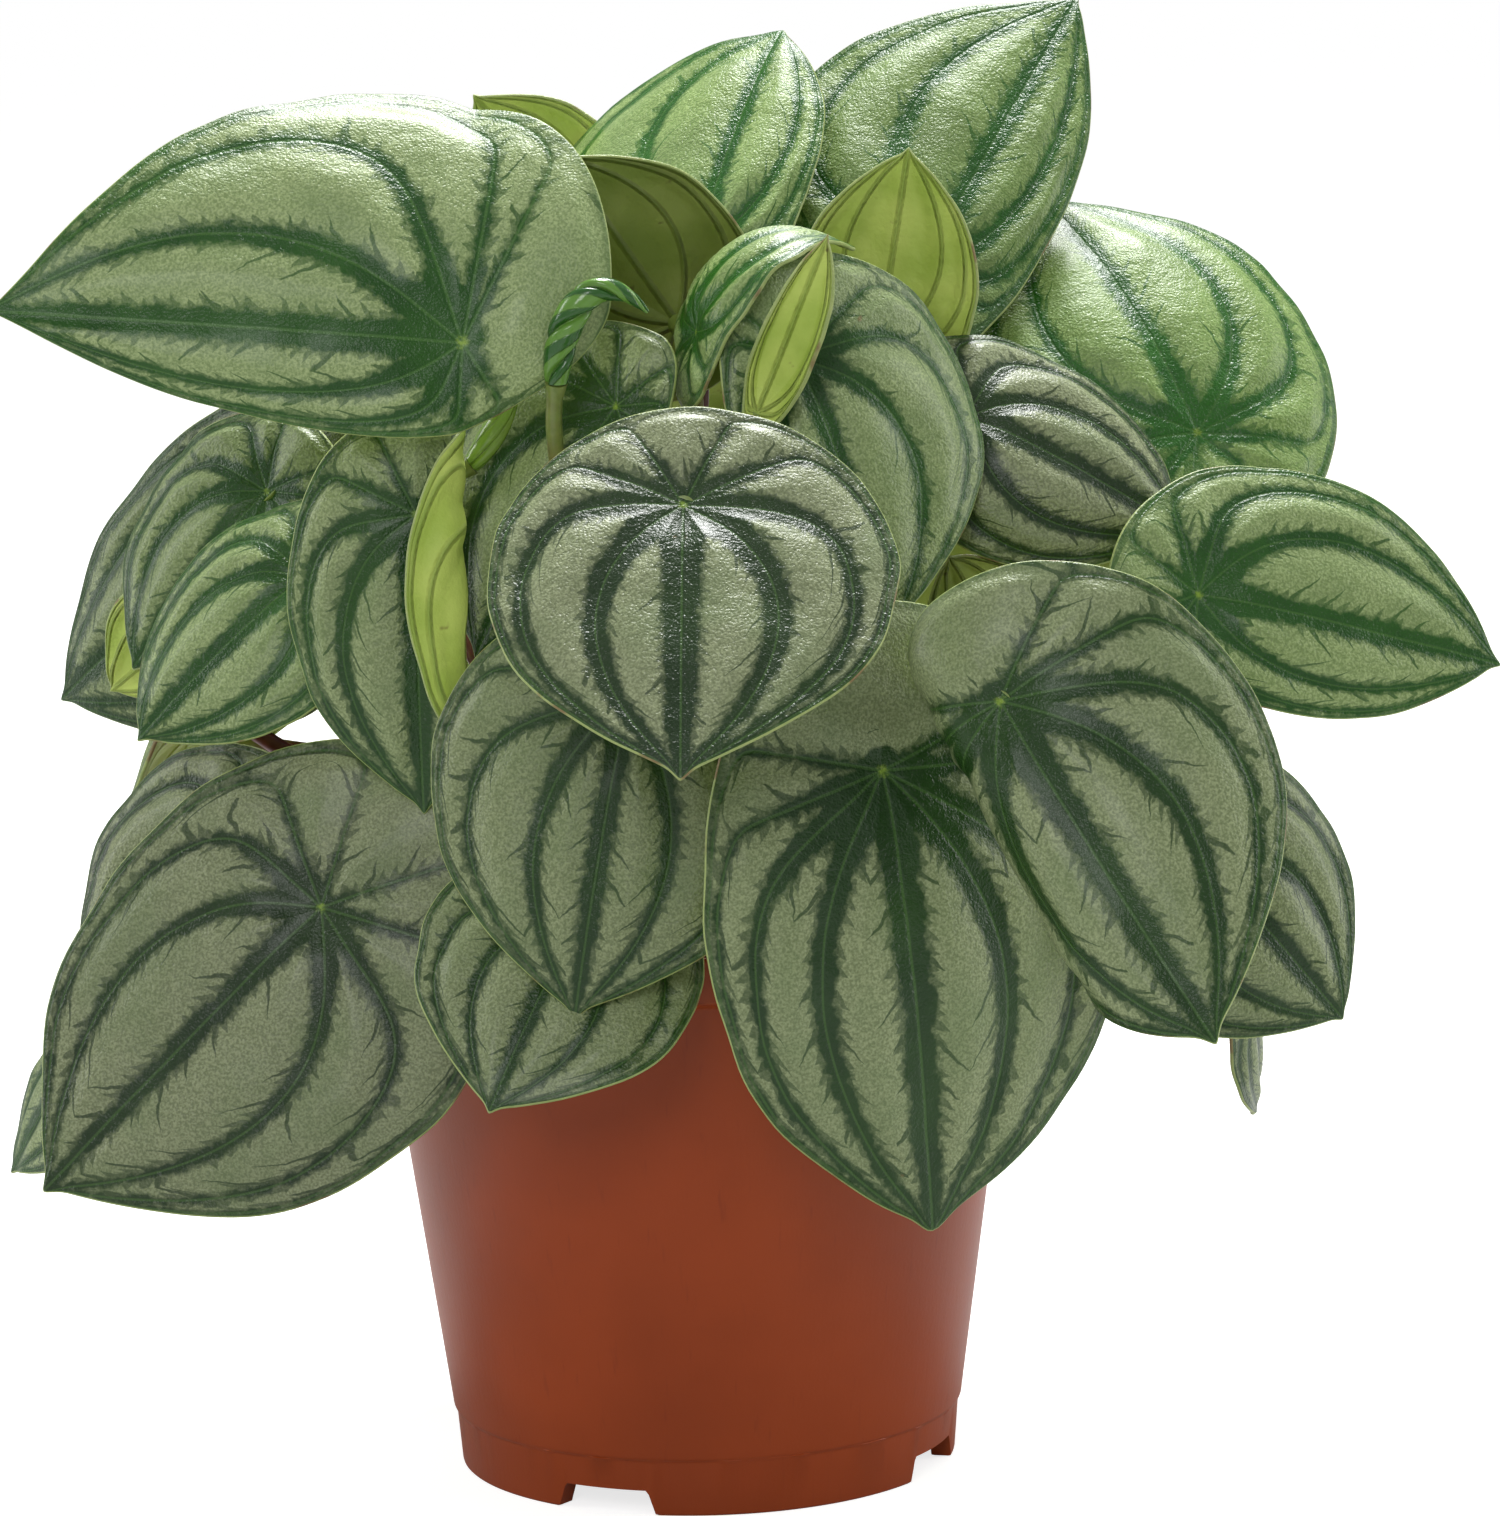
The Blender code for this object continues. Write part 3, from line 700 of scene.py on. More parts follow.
def leaf_facts(tree):
    """A blade's flat place ahead, aside and as a share of its reach, then its seed, tone and tint."""
    facts = []
    for name in ("flat", "looks"):
        told_here = node(tree, "ShaderNodeAttribute", {"attribute_name": name})
        apart = node(tree, "ShaderNodeSeparateXYZ", Vector=told_here.outputs["Vector"])
        facts.append([Quantity(tree, socket) for socket in apart.outputs])
    return facts


def teeth(beyond, along, key, pitch, longest, thick, lean, present):
    """Side branches of a stripe, beyond its edge. key: what makes a row of them its own. present:
    the share of places that has one."""
    cell = (along - beyond * lean) / pitch + key * 0.37
    number = work("FLOOR", cell)
    off = work("ABSOLUTE", work("FRACT", cell) - 0.5) * pitch
    chance = work("FRACT", work("SINE", number * 12.9898 + key * 7.31) * 437.585)
    other = work("FRACT", work("SINE", number * 39.425 + key * 3.17) * 237.137)
    size = (other * 0.75 + 0.25) * longest * work("LESS_THAN", chance, present)
    slim = (1 - beyond / work("MAXIMUM", size, 0.01)) * thick
    return step(off - slim, 0.12, -0.12)


def silver_skin():
    made, tree, shader = finish_of("silver_skin", 0.34, Specular_IOR_Level=0.36, Coat_Weight=0.14,
                                   Coat_Roughness=0.22)
    (ahead, side, share), (seed, tone, tint) = leaf_facts(tree)
    gaps, reach, half = vein_gaps(ahead, side, share, told(tree, "fan"), seed)
    breadth = told(tree, "stripe")
    fray = grain(tree, 0.0006, 2) - 0.5
    tuft = grain(tree, 0.0016, 2) - 0.5
    drift = grain(tree, 0.004, 2) - 0.5

    # Best is the distance beyond the nearest stripe's edge, line that to the nearest vein.
    best = None
    for index, ((gap, beside), (_, _, broad)) in enumerate(zip(gaps, VEINS)):
        taper = 1 - share ** (5 if index == 0 else 3) * 0.55 + work("EXPONENT", reach * reach * -0.012) * 0.9
        beyond = gap - taper * breadth * broad
        key = beside * 1.3 + half * 3.7 + (index * 5.3 + 1) + seed * 11.0
        if best is None:
            best = beyond
            keys = key
            line = gap
        else:
            closer = work("LESS_THAN", beyond, best)
            best = work("MINIMUM", best, beyond)
            keys = keys * (1 - closer) + key * closer
            line = work("MINIMUM", line, gap)
    ragged = best + fray * 0.7 + tuft * 2.2 + drift * 2.4
    stripe = step(ragged, 0.8, -0.8)
    outside = work("MAXIMUM", best, 0.0)
    wander = reach + drift * 3.0
    small = teeth(outside, wander, keys, pitch=2.3, longest=2.3, thick=0.85, lean=0.8, present=0.8)
    long = teeth(outside, wander, keys + 4.0, pitch=6.4, longest=6.5, thick=0.6, lean=1.1, present=0.5)
    stripe = work("MAXIMUM", stripe, work("MAXIMUM", small * 0.6, long * 0.8))
    inset = reach * (1 - share) / work("MAXIMUM", share, 0.02)
    border = step(inset + fray * 0.9 + drift * 1.0, 1.5, 0.5)

    # Silver scales over green, dark green stripes, a pale spot at the stalk and a few dry scars.
    speck = grain(tree, 0.00042, 1)
    cloud = grain(tree, 0.012, 3)
    silver = blend(tree, tint, srgb(96, 106, 72), srgb(110, 146, 66))
    bright_silver = blend(tree, tint, srgb(147, 156, 118), srgb(160, 189, 110))
    silver = blend(tree, step(speck, 0.3, 0.75) * 0.75 + 0.15, silver, bright_silver)
    silver = blend(tree, step(cloud, 0.4, 0.75) * 0.35, silver, srgb(86, 110, 62))
    dark = blend(tree, tint, srgb(18, 44, 6), srgb(24, 92, 4))
    bright_dark = blend(tree, tint, srgb(34, 62, 14), srgb(46, 118, 12))
    dark = blend(tree, step(cloud, 0.35, 0.7) * 0.5, dark, bright_dark)
    colour = blend(tree, border * 0.5, silver, srgb(78, 102, 54))
    colour = blend(tree, stripe, colour, dark)
    colour = blend(tree, step(line, 0.35, 0.1) * stripe * 0.3, colour, srgb(84, 124, 56))
    colour = blend(tree, step(reach + fray * 2, 1.2, 0.0) * 0.75, colour, srgb(132, 160, 48))
    scar = grain(tree, 0.006, 2)
    mark = step(scar, 0.76, 0.8) * step(grain(tree, 0.0015), 0.45, 0.6)
    colour = blend(tree, mark * 0.7, colour, srgb(120, 96, 58))
    # Tone scales the whole skin's lightness: the low tones of right_hidden, top_olive and back_right are
    # painted shade, and left_top's raised tone is partly painted light.
    lit = node(tree, "ShaderNodeHueSaturation", Color=colour, Value=tone)
    paint(tree, shader, lit.outputs[0])
    feed(tree, 0.36 - stripe * 0.05 + speck * 0.1, shader.inputs["Roughness"])
    pucker = grain(tree, 0.0022, 2)
    groove = step(line, 0.6, 0.0)
    bump(tree, shader, (1 - groove, 0.0001), (pucker, 0.0003), (speck, 0.00018))
    return made


def pale_underside():
    made, tree, shader = finish_of("pale_underside", 0.55, Specular_IOR_Level=0.35)
    (ahead, side, share), (seed, tone, _) = leaf_facts(tree)
    gaps, reach, _ = vein_gaps(ahead, side, share, told(tree, "fan"), seed)
    line = gaps[0][0]
    for gap, _ in gaps[1:]:
        line = work("MINIMUM", line, gap)
    cloud = grain(tree, 0.01, 3)
    fine = grain(tree, 0.0007, 2)
    colour = blend(tree, step(cloud, 0.3, 0.7), srgb(158, 182, 76), srgb(184, 202, 100))
    colour = blend(tree, step(line + (fine - 0.5) * 0.4, 0.6, 0.1) * 0.45, colour, srgb(96, 124, 44))
    spots = step(grain(tree, 0.005, 3), 0.7, 0.76)
    colour = blend(tree, spots * 0.8, colour, srgb(96, 70, 40))
    # Tone scales the whole underside's lightness: the low tones of right_hidden, top_olive and back_right
    # are painted shade on undersides deep in the plant.
    lit = node(tree, "ShaderNodeHueSaturation", Color=colour, Value=tone)
    paint(tree, shader, lit.outputs[0])
    rib = step(line, 1.2, 0.0)
    bump(tree, shader, (rib, 0.0006), (fine, 0.0001), (grain(tree, 0.003, 2), 0.0003))
    return made


def leaf_bead():
    made, tree, shader = finish_of("leaf_bead", 0.45)
    dry = step(grain(tree, 0.009, 3), 0.56, 0.66)
    colour = blend(tree, grain(tree, 0.002), srgb(128, 150, 84), srgb(160, 170, 104))
    colour = blend(tree, dry * 0.75, colour, srgb(112, 72, 48))
    paint(tree, shader, colour)
    bump(tree, shader, (grain(tree, 0.0008, 2), 0.0002))
    return made


def leaf(face, swing, length, width, arch=10, back=10, cup=15, twist=0, lean=0, taper=0.62, base=0.37,
         roll=(0, 1, 0, 5), nudge=(0, 0, 0), fan=1.0, tone=1.0, tint=0.2, ripple=1.0, skew=0, stripe=1.0):
    """One blade. face: bearing and lift of its upper side. swing: the tip's turn from straight
    downhill. arch, back, cup, twist: how it bends, in degrees. lean: how much broader one half is.
    roll: side, start, angle, radius. nudge: millimetres from the middle of its solid. fan: spread
    of its veins. tone, tint: how light its skin is and how fresh a green; the low tones of some
    blades are painted shade, and left_top's high tone is partly painted light. skew: how far the
    base lobe leans over. stripe: how broad its dark stripes are."""
    return dict(face=face, swing=swing, nudge=nudge, inputs={
        "Length": length, "Width": width, "Arch": math.radians(arch), "Back": math.radians(back),
        "Cup": math.radians(cup), "Twist": math.radians(twist), "Lean": lean, "Taper": taper,
        "Base": base, "Skew": skew, "Roll Side": roll[0], "Roll Start": roll[1],
        "Roll Angle": math.radians(roll[2]), "Roll Radius": roll[3], "Ripple": ripple, "Fan": fan,
        "Stripe": stripe, "Tone": tone, "Tint": tint})


BLADES = {
    "front_centre": leaf((-92, 45), 0, 49, 0.66, 10, -10, 14, lean=0.05, nudge=(0.5, 0, 2),
                         stripe=1.25, tint=0.0),
    "front_low_centre": leaf((-97, 18), -10, 52, 0.6, 20, 30, 20, base=0.3, nudge=(1, 0, 0), fan=0.75,
                             stripe=0.8, tone=0.9, tint=0.1),
    "front_low_left": leaf((-90, 42), -25, 36, 0.66, 20, 20, 15, nudge=(-1, 0, 3), stripe=0.8,
                           tone=0.88, tint=0.1),
    "front_low_right": leaf((-66, 8), 5, 74, 0.52, 15, 45, 20, lean=0.14, taper=0.5, nudge=(2, 0, 0),
                            fan=0.7, tint=0.1),
    "front_right": leaf((-108, 15), 35, 62, 0.53, 10, 45, 38, twist=-15, lean=0.12, base=0.33,
                        roll=(-1, 0.08, -80, 12), nudge=(-2, 0, -2.5), fan=0.8, tint=0.1),
    "right_low": leaf((-70, 12), 40, 38, 0.62, 10, 10, 20, tint=0.1),
    "right_low_tip": leaf((-10, 5), 30, 28, 0.4, 10, 10, 30, tint=0.1),
    "left_low": leaf((-101, 18), -44, 64, 0.54, 8, 15, 12, lean=0.12, base=0.46, nudge=(1, 0, 2),
                     stripe=0.75, tone=0.9, tint=0.0),
    "left_low_behind": leaf((-115, 20), -50, 38, 0.6, 10, 10, 20, nudge=(1, 0, 3), tint=0.0),
    "left_low_tip": leaf((-150, 25), -30, 30, 0.5, 10, 10, 20),
    "left_centre": leaf((-97, 8), 0, 48, 0.46, 15, 35, 15, roll=(1, 0.17, 175, 4.2), tint=0.2),
    "centre_behind": leaf((-110, 30), -25, 46, 0.42, 20, 20, 12, lean=-0.4, base=0.3, tint=0.2),
    # left_top's raised tone is partly painted light, lightening its silver toward a lit patch.
    "left_top": leaf((-85, 11), -96, 76, 0.42, 8, 12, 34, lean=-0.5, taper=0.85, base=0.31, skew=-0.35,
                     nudge=(0, 0, 5), fan=0.8, stripe=0.85, tone=1.2, tint=0.3),
    "left_inner": leaf((-115, 25), -35, 37, 0.54, 15, 15, 20, tone=0.85, tint=0.3),
    "left_glossy": leaf((-110, 32), -42, 38, 0.5, 15, 15, 20, tint=0.3),
    "left_far": leaf((-118, 5), -52, 60, 0.44, 10, 10, 20, lean=0.2, tone=0.85, tint=0.2),
    "left_sliver": leaf((60, 20), 55, 26, 0.45, 10, 10, 15),
    "top_left_back": leaf((75, 10), 140, 28, 0.5, 10, 10, 10, nudge=(3.5, 0, -1)),
    "top_centre": leaf((-115, 36), 180, 48, 0.68, 20, 20, 30, lean=0.5, taper=0.52, nudge=(-3, 0, 1),
                       stripe=0.75, tone=0.92, tint=0.7),
    "top_right": leaf((-85, 35), 150, 64, 0.44, 10, 10, 18, lean=0.4, fan=0.8, stripe=0.75,
                      tone=0.66, tint=0.9),
    # top_olive's low tone is painted shade on its underside.
    "top_olive": leaf((105, 10), 145, 36, 0.5, 10, 10, 20, tone=0.4),
    "top_arched": leaf((-165, 10), 178, 35, 0.45, 110, 20, 20, nudge=(0, 0, 3), tint=0.6),
    "top_underside": leaf((85, 0), -170, 32, 0.5, 10, 10, 30),
    "right_centre": leaf((-72, 20), 15, 46, 0.5, 15, 20, 24, lean=0.35, nudge=(-2, 0, 3),
                         stripe=0.75, tint=0.3),
    "right_silver": leaf((-80, 34), 60, 40, 0.52, 20, 20, 34, nudge=(2, -2, 0), tint=0.0),
    "right_pale": leaf((-80, 30), 197, 58, 0.52, 40, 20, 25, nudge=(-3, 4, 0), stripe=0.75,
                       tone=0.77, tint=0.9),
    "right_far": leaf((-78, 22), 75, 52, 0.41, 10, 10, 15, lean=0.22, base=0.3, nudge=(2, 0, 0), stripe=0.9,
                      tint=0.4),
    # right_hidden's low tone is painted shade on an underside deep in the plant.
    "right_hidden": leaf((95, 10), 150, 16, 0.6, 10, 10, 10, tone=0.5),
    "back_left": leaf((135, 35), 0, 60, 0.56, 15, 15, 18),
    "back_centre_left": leaf((105, 30), -5, 62, 0.55, 12, 20, 18, fan=0.8),
    "back_centre_right": leaf((78, 28), 5, 64, 0.55, 12, 20, 18, fan=0.9),
    # back_right's lowered tone is painted shade.
    "back_right": leaf((35, 30), 0, 56, 0.56, 15, 15, 18, tone=0.9),
    "side_left": leaf((160, 25), 0, 52, 0.55, 12, 15, 20),
    "back_low_left": leaf((120, 18), 0, 52, 0.55, 12, 15, 18),
    "back_low_right": leaf((68, 15), 0, 55, 0.55, 12, 15, 18, fan=0.8),
    "side_right": leaf((20, 20), 0, 56, 0.56, 12, 15, 20),
    "back_top": leaf((95, 55), 0, 52, 0.55, 20, 20, 15, tint=0.5),
}


def leaf_axes(face, swing):
    """Unit vectors of a blade: to its tip, to its left, out of its upper side."""
    bearing, lift = map(math.radians, face)
    turn = math.radians(swing)
    out = Vector((math.cos(bearing) * math.cos(lift), math.sin(bearing) * math.cos(lift), math.sin(lift)))
    down = Vector((math.cos(bearing) * math.sin(lift), math.sin(bearing) * math.sin(lift), -math.cos(lift)))
    across = Vector((-math.sin(bearing), math.cos(bearing), 0))
    ahead = math.cos(turn) * down + math.sin(turn) * across
    return ahead, out.cross(ahead), out


def middle(points):
    return (points.max(0) + points.min(0)) / 2


blade_tree = leaf_tree(silver_skin(), pale_underside(), leaf_bead())
seats = {}
outs = {}


def place_blade(name, row, seed):
    """Grow a blade, lay it where its solid is, and return its axes."""
    blade = grown(f"blade_{name}", blade_tree, {**row["inputs"], "Seed": seed})
    axes = leaf_axes(row["face"], row["swing"])
    turn = Matrix(axes).transposed().to_4x4()
    blade.data.transform(turn @ Matrix.Scale(MM, 4))
    points = np.array([v.co for v in blade.data.vertices])
    low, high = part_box(f"leaf_{name}")
    seats[name] = (low + high) / 2 - Vector(middle(points)) + Vector(row["nudge"]) * MM
    blade.data.transform(Matrix.Translation(seats[name]))
    keep(blade, "leaves", f"leaf_{name}")
    return axes


for number, (name, row) in enumerate(BLADES.items()):
    outs[name] = place_blade(name, row, 1.0 + number)[2]

# ---------------------------------------------------------------------------------------------
# Young leaves: still rolled lengthwise into soft spindles as they come up between the others.
# One is glossy and twisted like a rope, one is plain bright green. A third is half open, a narrow
# folded blade that shows its pale back.


SWELL_SPAN = 0.72
SWELL_START = 0.24
GROOVE_SHARPNESS = 14.0
YOUNG_STRIPES = 3


def rolled_tree(skin):
    tree, source, size = tree_with(
        "rolled_leaf", {"Radius": 0.002, "Turns": 1.2, "Groove": 0.3, "Tone": 1.0}, True)
    share = Quantity(tree, tree.nodes.new("GeometryNodeSplineParameter").outputs["Factor"])
    swell = work("SINE", (share * SWELL_SPAN + SWELL_START) * math.pi)
    path = node(tree, "GeometryNodeResampleCurve", Curve=source.outputs["Geometry"], Count=90)
    path = node(tree, "GeometryNodeSetCurveTilt", Curve=path.outputs[0],
                Tilt=share * size["Turns"] * (2 * math.pi))
    path = store(tree, path.outputs[0], "grown", share)
    hoop = node(tree, "GeometryNodeCurvePrimitiveCircle", Resolution=64, Radius=1.0)
    way = Quantity(tree, tree.nodes.new("GeometryNodeSplineParameter").outputs["Factor"])
    ridge = work("ABSOLUTE", work("SINE", way * (2 * math.pi)))
    scale = 1 - size["Groove"] * work("EXPONENT", ridge * ridge * -GROOVE_SHARPNESS)
    spot = tree.nodes.new("GeometryNodeInputPosition").outputs[0]
    shaped = node(tree, "ShaderNodeVectorMath", {"operation": "SCALE"}, Vector=spot, Scale=scale)
    hoop = node(tree, "GeometryNodeSetPosition", Geometry=hoop.outputs[0], Position=shaped.outputs[0])
    hoop = store(tree, hoop.outputs[0], "around", way)
    made = node(tree, "GeometryNodeCurveToMesh", Curve=path, Profile_Curve=hoop,
                Scale=size["Radius"] * work("MAXIMUM", swell, 0.1))
    made.inputs["Fill Caps"].default_value = True
    toned = store(tree, made.outputs[0], "tone", size["Tone"])
    smooth = node(tree, "GeometryNodeSetShadeSmooth", Geometry=toned)
    close_tree(tree, smooth.outputs[0], skin)
    return tree


def young_skin():
    made, tree, shader = finish_of("young_skin", 0.25, Specular_IOR_Level=0.5, Coat_Weight=0.3)
    wave = work("SINE", told(tree, "around") * (2 * YOUNG_STRIPES * math.pi))
    stripe = step(wave + grain(tree, 0.001, 2) * 0.5, 0.1, 0.7)
    colour = blend(tree, stripe, srgb(92, 136, 50), srgb(36, 86, 24))
    plain = blend(tree, grain(tree, 0.003, 2), srgb(130, 166, 60), srgb(164, 186, 84))
    colour = blend(tree, told(tree, "tone"), colour, plain)
    paint(tree, shader, colour)
    bump(tree, shader, (stripe, 0.0002), (grain(tree, 0.0012, 2), 0.0001))
    return made


def bezier_through(name, ways):
    """Curve object of separate curved ways, each given by four control points in metres."""
    data = bpy.data.curves.new(name, "CURVE")
    data.dimensions = "3D"
    data.resolution_u = 24
    for start, leave, arrive, end in ways:
        line = data.splines.new("BEZIER")
        line.bezier_points.add(1)
        for point, place, before, after in ((line.bezier_points[0], start, 2 * start - leave, leave),
                                            (line.bezier_points[1], end, arrive, 2 * end - arrive)):
            point.co = place
            point.handle_left = before
            point.handle_right = after
    return data


# Each way is four control points in millimetres, from the stalk to the tip. After it come the
# radius, the turns, the depth of the groove and how plain the green is.
ROLLED = {
    "young_spiral": (((-20, -51, 191.5), (-19.5, -53, 202.5), (-13.5, -53, 212), (-5, -51, 202.5)),
                     2.7, 1.7, 0.35, 0.0),
    "young_rolled": (((-34.5, -39, 177), (-31, -40, 181), (-28, -40, 187), (-26, -39, 191)),
                     2.2, 0.3, 0.2, 0.6),
}
young_tree = rolled_tree(young_skin())
for name, (way, radius, turns, groove, tone) in ROLLED.items():
    way = [Vector(place) * MM for place in way]
    sizes = {"Radius": radius * MM, "Turns": turns, "Groove": groove, "Tone": tone}
    roll = grown(f"rolled_{name}", young_tree, sizes, bezier_through(name, [way]))
    seats[name] = way[0]
    outs[name] = (way[1] - way[0]).normalized()
    keep(roll, "leaves", f"leaf_{name}")

# The half-open one hangs from its base, so its stalk comes along the blade.
pale = leaf((84, 4), 203, 31, 0.19, 12, 10, 60, lean=0.2, base=0.12, ripple=0.5)
outs["young_pale"] = place_blade("young_pale", pale, 41.0)[0]

# ---------------------------------------------------------------------------------------------
# Stalks: round, juicy and dark red, paler and greener towards the blade. All the stalks of one
# crown grow from the same short stump on the soil.

CROWN_OF = {
    "left": ("left_low", "left_low_behind", "left_low_tip", "left_centre", "left_top", "left_inner",
             "left_glossy", "left_far", "left_sliver", "back_left", "side_left", "young_rolled"),
    "front": ("front_centre", "front_low_centre", "front_low_left", "right_centre", "young_pale"),
    "right": ("front_low_right", "front_right", "right_low", "right_low_tip", "right_silver", "right_pale",
              "right_far", "right_hidden", "back_right", "side_right"),
    "middle": ("centre_behind", "top_centre", "top_right", "top_olive", "top_arched", "top_underside",
               "young_spiral"),
    "back": ("top_left_back", "back_centre_left", "back_centre_right", "back_low_left", "back_low_right",
             "back_top"),
}
# How far a stalk is bent aside on its way to a blade, in millimetres.
BOWS = {
    "front_centre": (4, 10, 12), "front_right": (12, 0, 12), "right_low_tip": (0, 0, 8),
    "left_low_tip": (0, 0, 14), "left_centre": (-12, 0, 0), "centre_behind": (-2, 0, 0),
    "left_top": (-12, 10, 6), "left_inner": (0, -12, 0), "left_glossy": (0, -4, 0),
    "left_sliver": (0, -4, -14), "top_left_back": (-12, 4, 0), "top_centre": (-8, 0, 0),
    "young_spiral": (-3, 4, 0), "young_rolled": (-12, -3, 0), "young_pale": (-6, 0, 0),
}
STALK_RISE = 0.45
STALK_LEAD = 0.22
STALK_LEAN = 0.1
STALK_SINK = 1.6
CROWN_INSET = 4.0
CROWN_MIDDLE = 2.5
FOOT_RISE = 3.0
FOOT_SPREAD = 2.5
soil_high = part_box("soil")[1]


def stalk_skin():
    made, tree, shader = finish_of("stalk_skin", 0.35, Specular_IOR_Level=0.5, Coat_Weight=0.2)
    fleck = grain(tree, 0.0012, 2)
    streak = grain(tree, 0.006, 3)
    red = blend(tree, step(streak, 0.35, 0.7), srgb(84, 26, 34), srgb(120, 44, 44))
    green = blend(tree, fleck, srgb(96, 120, 50), srgb(130, 144, 74))
    colour = blend(tree, step(told(tree, "grown") + (streak - 0.5) * 0.4, 0.72, 1.0), red, green)
    paint(tree, shader, colour)
    bump(tree, shader, (fleck, 0.0001), (streak, 0.0003))
    return made


def stems_tree(skin):
    tree, source, size = tree_with("stems", {"Foot Radius": 0.0019, "Top Radius": 0.0013,
                                             "Crown Radius": 0.006, "Crown Place": (0.0, 0.0, 0.0)}, True)
    share = Quantity(tree, tree.nodes.new("GeometryNodeSplineParameter").outputs["Factor"])
    path = node(tree, "GeometryNodeResampleCurve", Curve=source.outputs["Geometry"], Count=40)
    lumps = grain(tree, 0.012, 2, tree.nodes.new("GeometryNodeInputPosition").outputs[0]) - 0.5
    flare = step(share, 0.97, 1.0) * 0.0006
    radius = (size["Foot Radius"] * (1 - share) + size["Top Radius"] * share) * (lumps * 0.25 + 1) + flare
    path = store(tree, path.outputs[0], "grown", share)
    hoop = node(tree, "GeometryNodeCurvePrimitiveCircle", Resolution=20, Radius=1.0)
    tubes = node(tree, "GeometryNodeCurveToMesh", Curve=path, Profile_Curve=hoop.outputs[0],
                 Scale=radius)
    tubes.inputs["Fill Caps"].default_value = True
    lump = node(tree, "GeometryNodeMeshIcoSphere", Radius=1.0, Subdivisions=5)
    spot = tree.nodes.new("GeometryNodeInputPosition").outputs[0]
    knobs = (grain(tree, 0.35, 3, spot) - 0.5) * 0.5 + 1
    grown_size = node(tree, "ShaderNodeVectorMath", {"operation": "SCALE"}, Vector=spot,
                      Scale=knobs * size["Crown Radius"])
    placed = node(tree, "ShaderNodeVectorMath", {"operation": "ADD"})
    tree.links.new(grown_size.outputs[0], placed.inputs[0])
    feed(tree, size["Crown Place"], placed.inputs[1])
    lump = node(tree, "GeometryNodeSetPosition", Geometry=lump.outputs[0], Position=placed.outputs[0])
    joined = tree.nodes.new("GeometryNodeJoinGeometry")
    tree.links.new(tubes.outputs[0], joined.inputs[0])
    tree.links.new(lump.outputs[0], joined.inputs[0])
    smooth = node(tree, "GeometryNodeSetShadeSmooth", Geometry=joined.outputs[0])
    close_tree(tree, smooth.outputs[0], skin)
    return tree


stalks_tree = stems_tree(stalk_skin())
for crown, names in CROWN_OF.items():
    points = np.array([v.co for v in frame["nodes"][f"stems_{crown}"].data.vertices])
    inside = points[np.hypot(points[:, 0], points[:, 1]) < soil_high.x - CROWN_INSET * MM]
    bottom = inside[inside[:, 2] < inside[:, 2].min() + MM]
    home = Vector((*middle(bottom)[:2], bottom[0, 2]))
    ways = []
    for name in names:
        sink = STALK_SINK if name in BLADES else 0
        end = seats[name] - sink * MM * outs[name]
        plan = Vector((end.x - home.x, end.y - home.y, 0)).normalized()
        foot = home + Vector((0, 0, FOOT_RISE * MM)) + FOOT_SPREAD * MM * plan
        span = (end - foot).length
        bow = Vector(BOWS.get(name, (0, 0, 0))) * MM
        rise = foot + Vector((0, 0, STALK_RISE * span)) + STALK_LEAN * span * plan + bow
        lead = end - STALK_LEAD * span * outs[name] + bow
        ways.append((foot, rise, lead, end))
    stems = grown(f"stalks_{crown}", stalks_tree, {"Crown Place": home + Vector((0, 0, CROWN_MIDDLE * MM))},
                  bezier_through(f"ways_{crown}", ways))
    keep(stems, "stems", f"stems_{crown}")

# ---------------------------------------------------------------------------------------------
# Floor, light and camera: a white paper floor under a white sky, both lifted to full white for the
# camera alone. Soft lights stand behind, at both sides and in front. The camera looks slightly down.

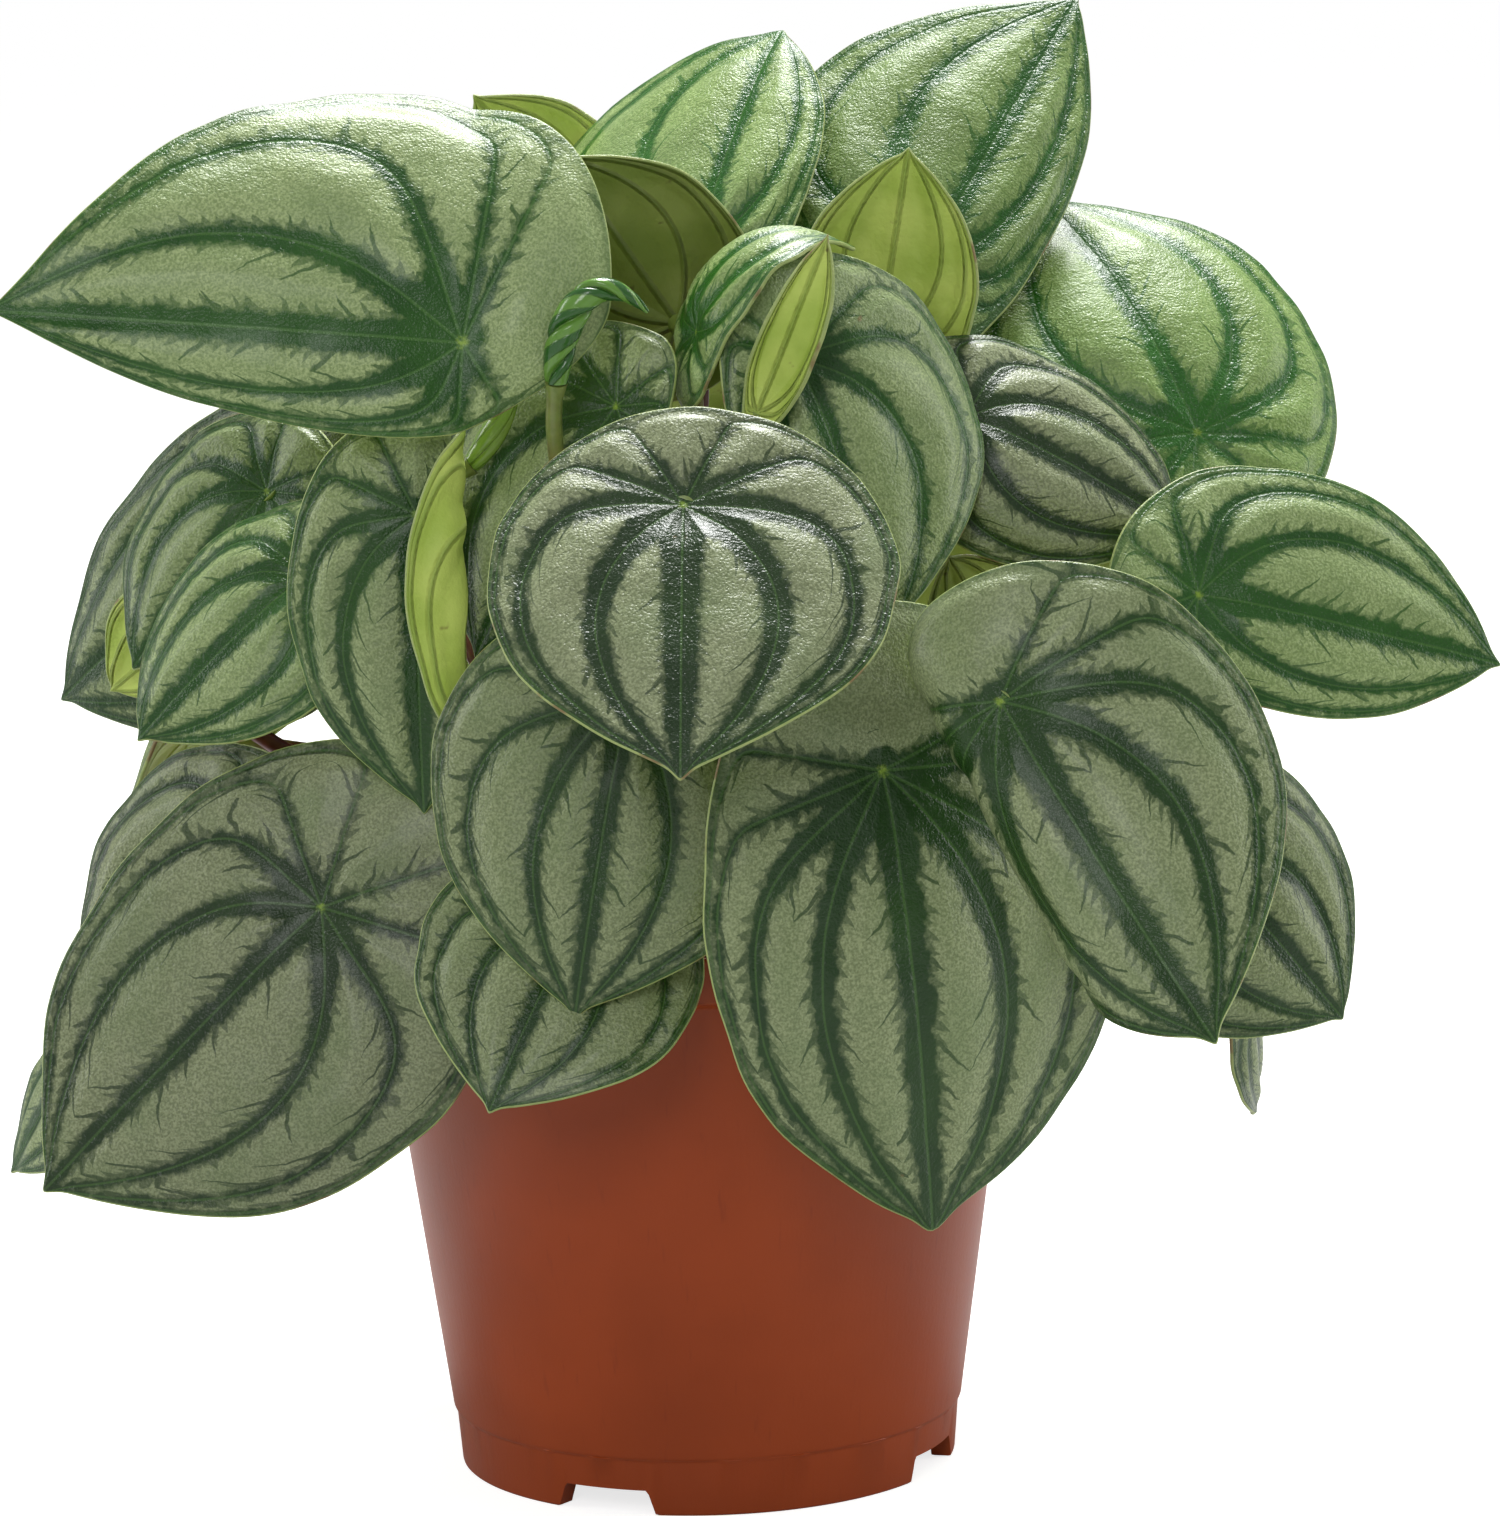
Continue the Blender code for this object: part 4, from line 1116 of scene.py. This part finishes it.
bpy.ops.mesh.primitive_plane_add(size=1)
floor = bpy.context.object
floor.name = "floor"
FLOOR_SIZE = 40.0
PAPER_GLOW = 0.76
floor.data.transform(Matrix.Scale(FLOOR_SIZE, 4))
paper, tree, shader = finish_of("paper_floor", 0.9, Base_Color=(0.55, 0.55, 0.55, 1), Specular_IOR_Level=0.1,
                                Emission_Color=(1, 1, 1, 1))
seen = tree.nodes.new("ShaderNodeLightPath")
feed(tree, Quantity(tree, seen.outputs["Is Camera Ray"]) * PAPER_GLOW, shader.inputs["Emission Strength"])
floor.data.materials.append(paper)

AIM = (0, 0, 0.14)


def soft_light(name, place, power, width, height):
    lamp = bpy.data.lights.new(name, "AREA")
    lamp.shape = "RECTANGLE"
    lamp.size = width
    lamp.size_y = height
    lamp.energy = power
    made = bpy.data.objects.new(name, lamp)
    scene.collection.objects.link(made)
    made.location = place
    made.rotation_euler = (Vector(AIM) - Vector(place)).to_track_quat("-Z", "Y").to_euler()


soft_light("back_softbox", (0.1, 0.62, 1.3), 30, 0.5, 0.5)
soft_light("left_softbox", (-1.1, 0.1, 0.5), 5, 0.3, 0.9)
soft_light("right_softbox", (1.1, 0.1, 0.5), 5, 0.3, 0.9)
soft_light("front_fill", (-0.3, -1.5, 0.9), 8, 0.6, 0.6)

SKY = 0.42
SEEN_SKY = 1.0
world = bpy.data.worlds.new("studio")
world.use_nodes = True
sky = world.node_tree.nodes["Background"]
seen = world.node_tree.nodes.new("ShaderNodeLightPath")
bright = Quantity(world.node_tree, seen.outputs["Is Camera Ray"]) * (SEEN_SKY - SKY) + SKY
feed(world.node_tree, bright, sky.inputs["Strength"])
sky.inputs["Color"].default_value = (1, 1, 1, 1)
scene.world = world
scene.view_settings.view_transform = "Standard"

CAMERA_PITCH = math.radians(9.7)
CAMERA_ROLL = math.radians(1.3)
CAMERA_PLACE = (0.00978, -1.1549, 0.3182)
LENS = 163.85
SENSOR = 36
camera = bpy.data.objects.new("camera", bpy.data.cameras.new("camera"))
scene.collection.objects.link(camera)
camera.data.lens = LENS
camera.data.sensor_width = SENSOR
right = Vector((1, 0, 0))
up = Vector((0, math.sin(CAMERA_PITCH), math.cos(CAMERA_PITCH)))
across = math.cos(CAMERA_ROLL) * right - math.sin(CAMERA_ROLL) * up
upright = math.sin(CAMERA_ROLL) * right + math.cos(CAMERA_ROLL) * up
camera.matrix_world = Matrix.Translation(CAMERA_PLACE) @ Matrix(
    (across, upright, across.cross(upright))).transposed().to_4x4()
scene.camera = camera
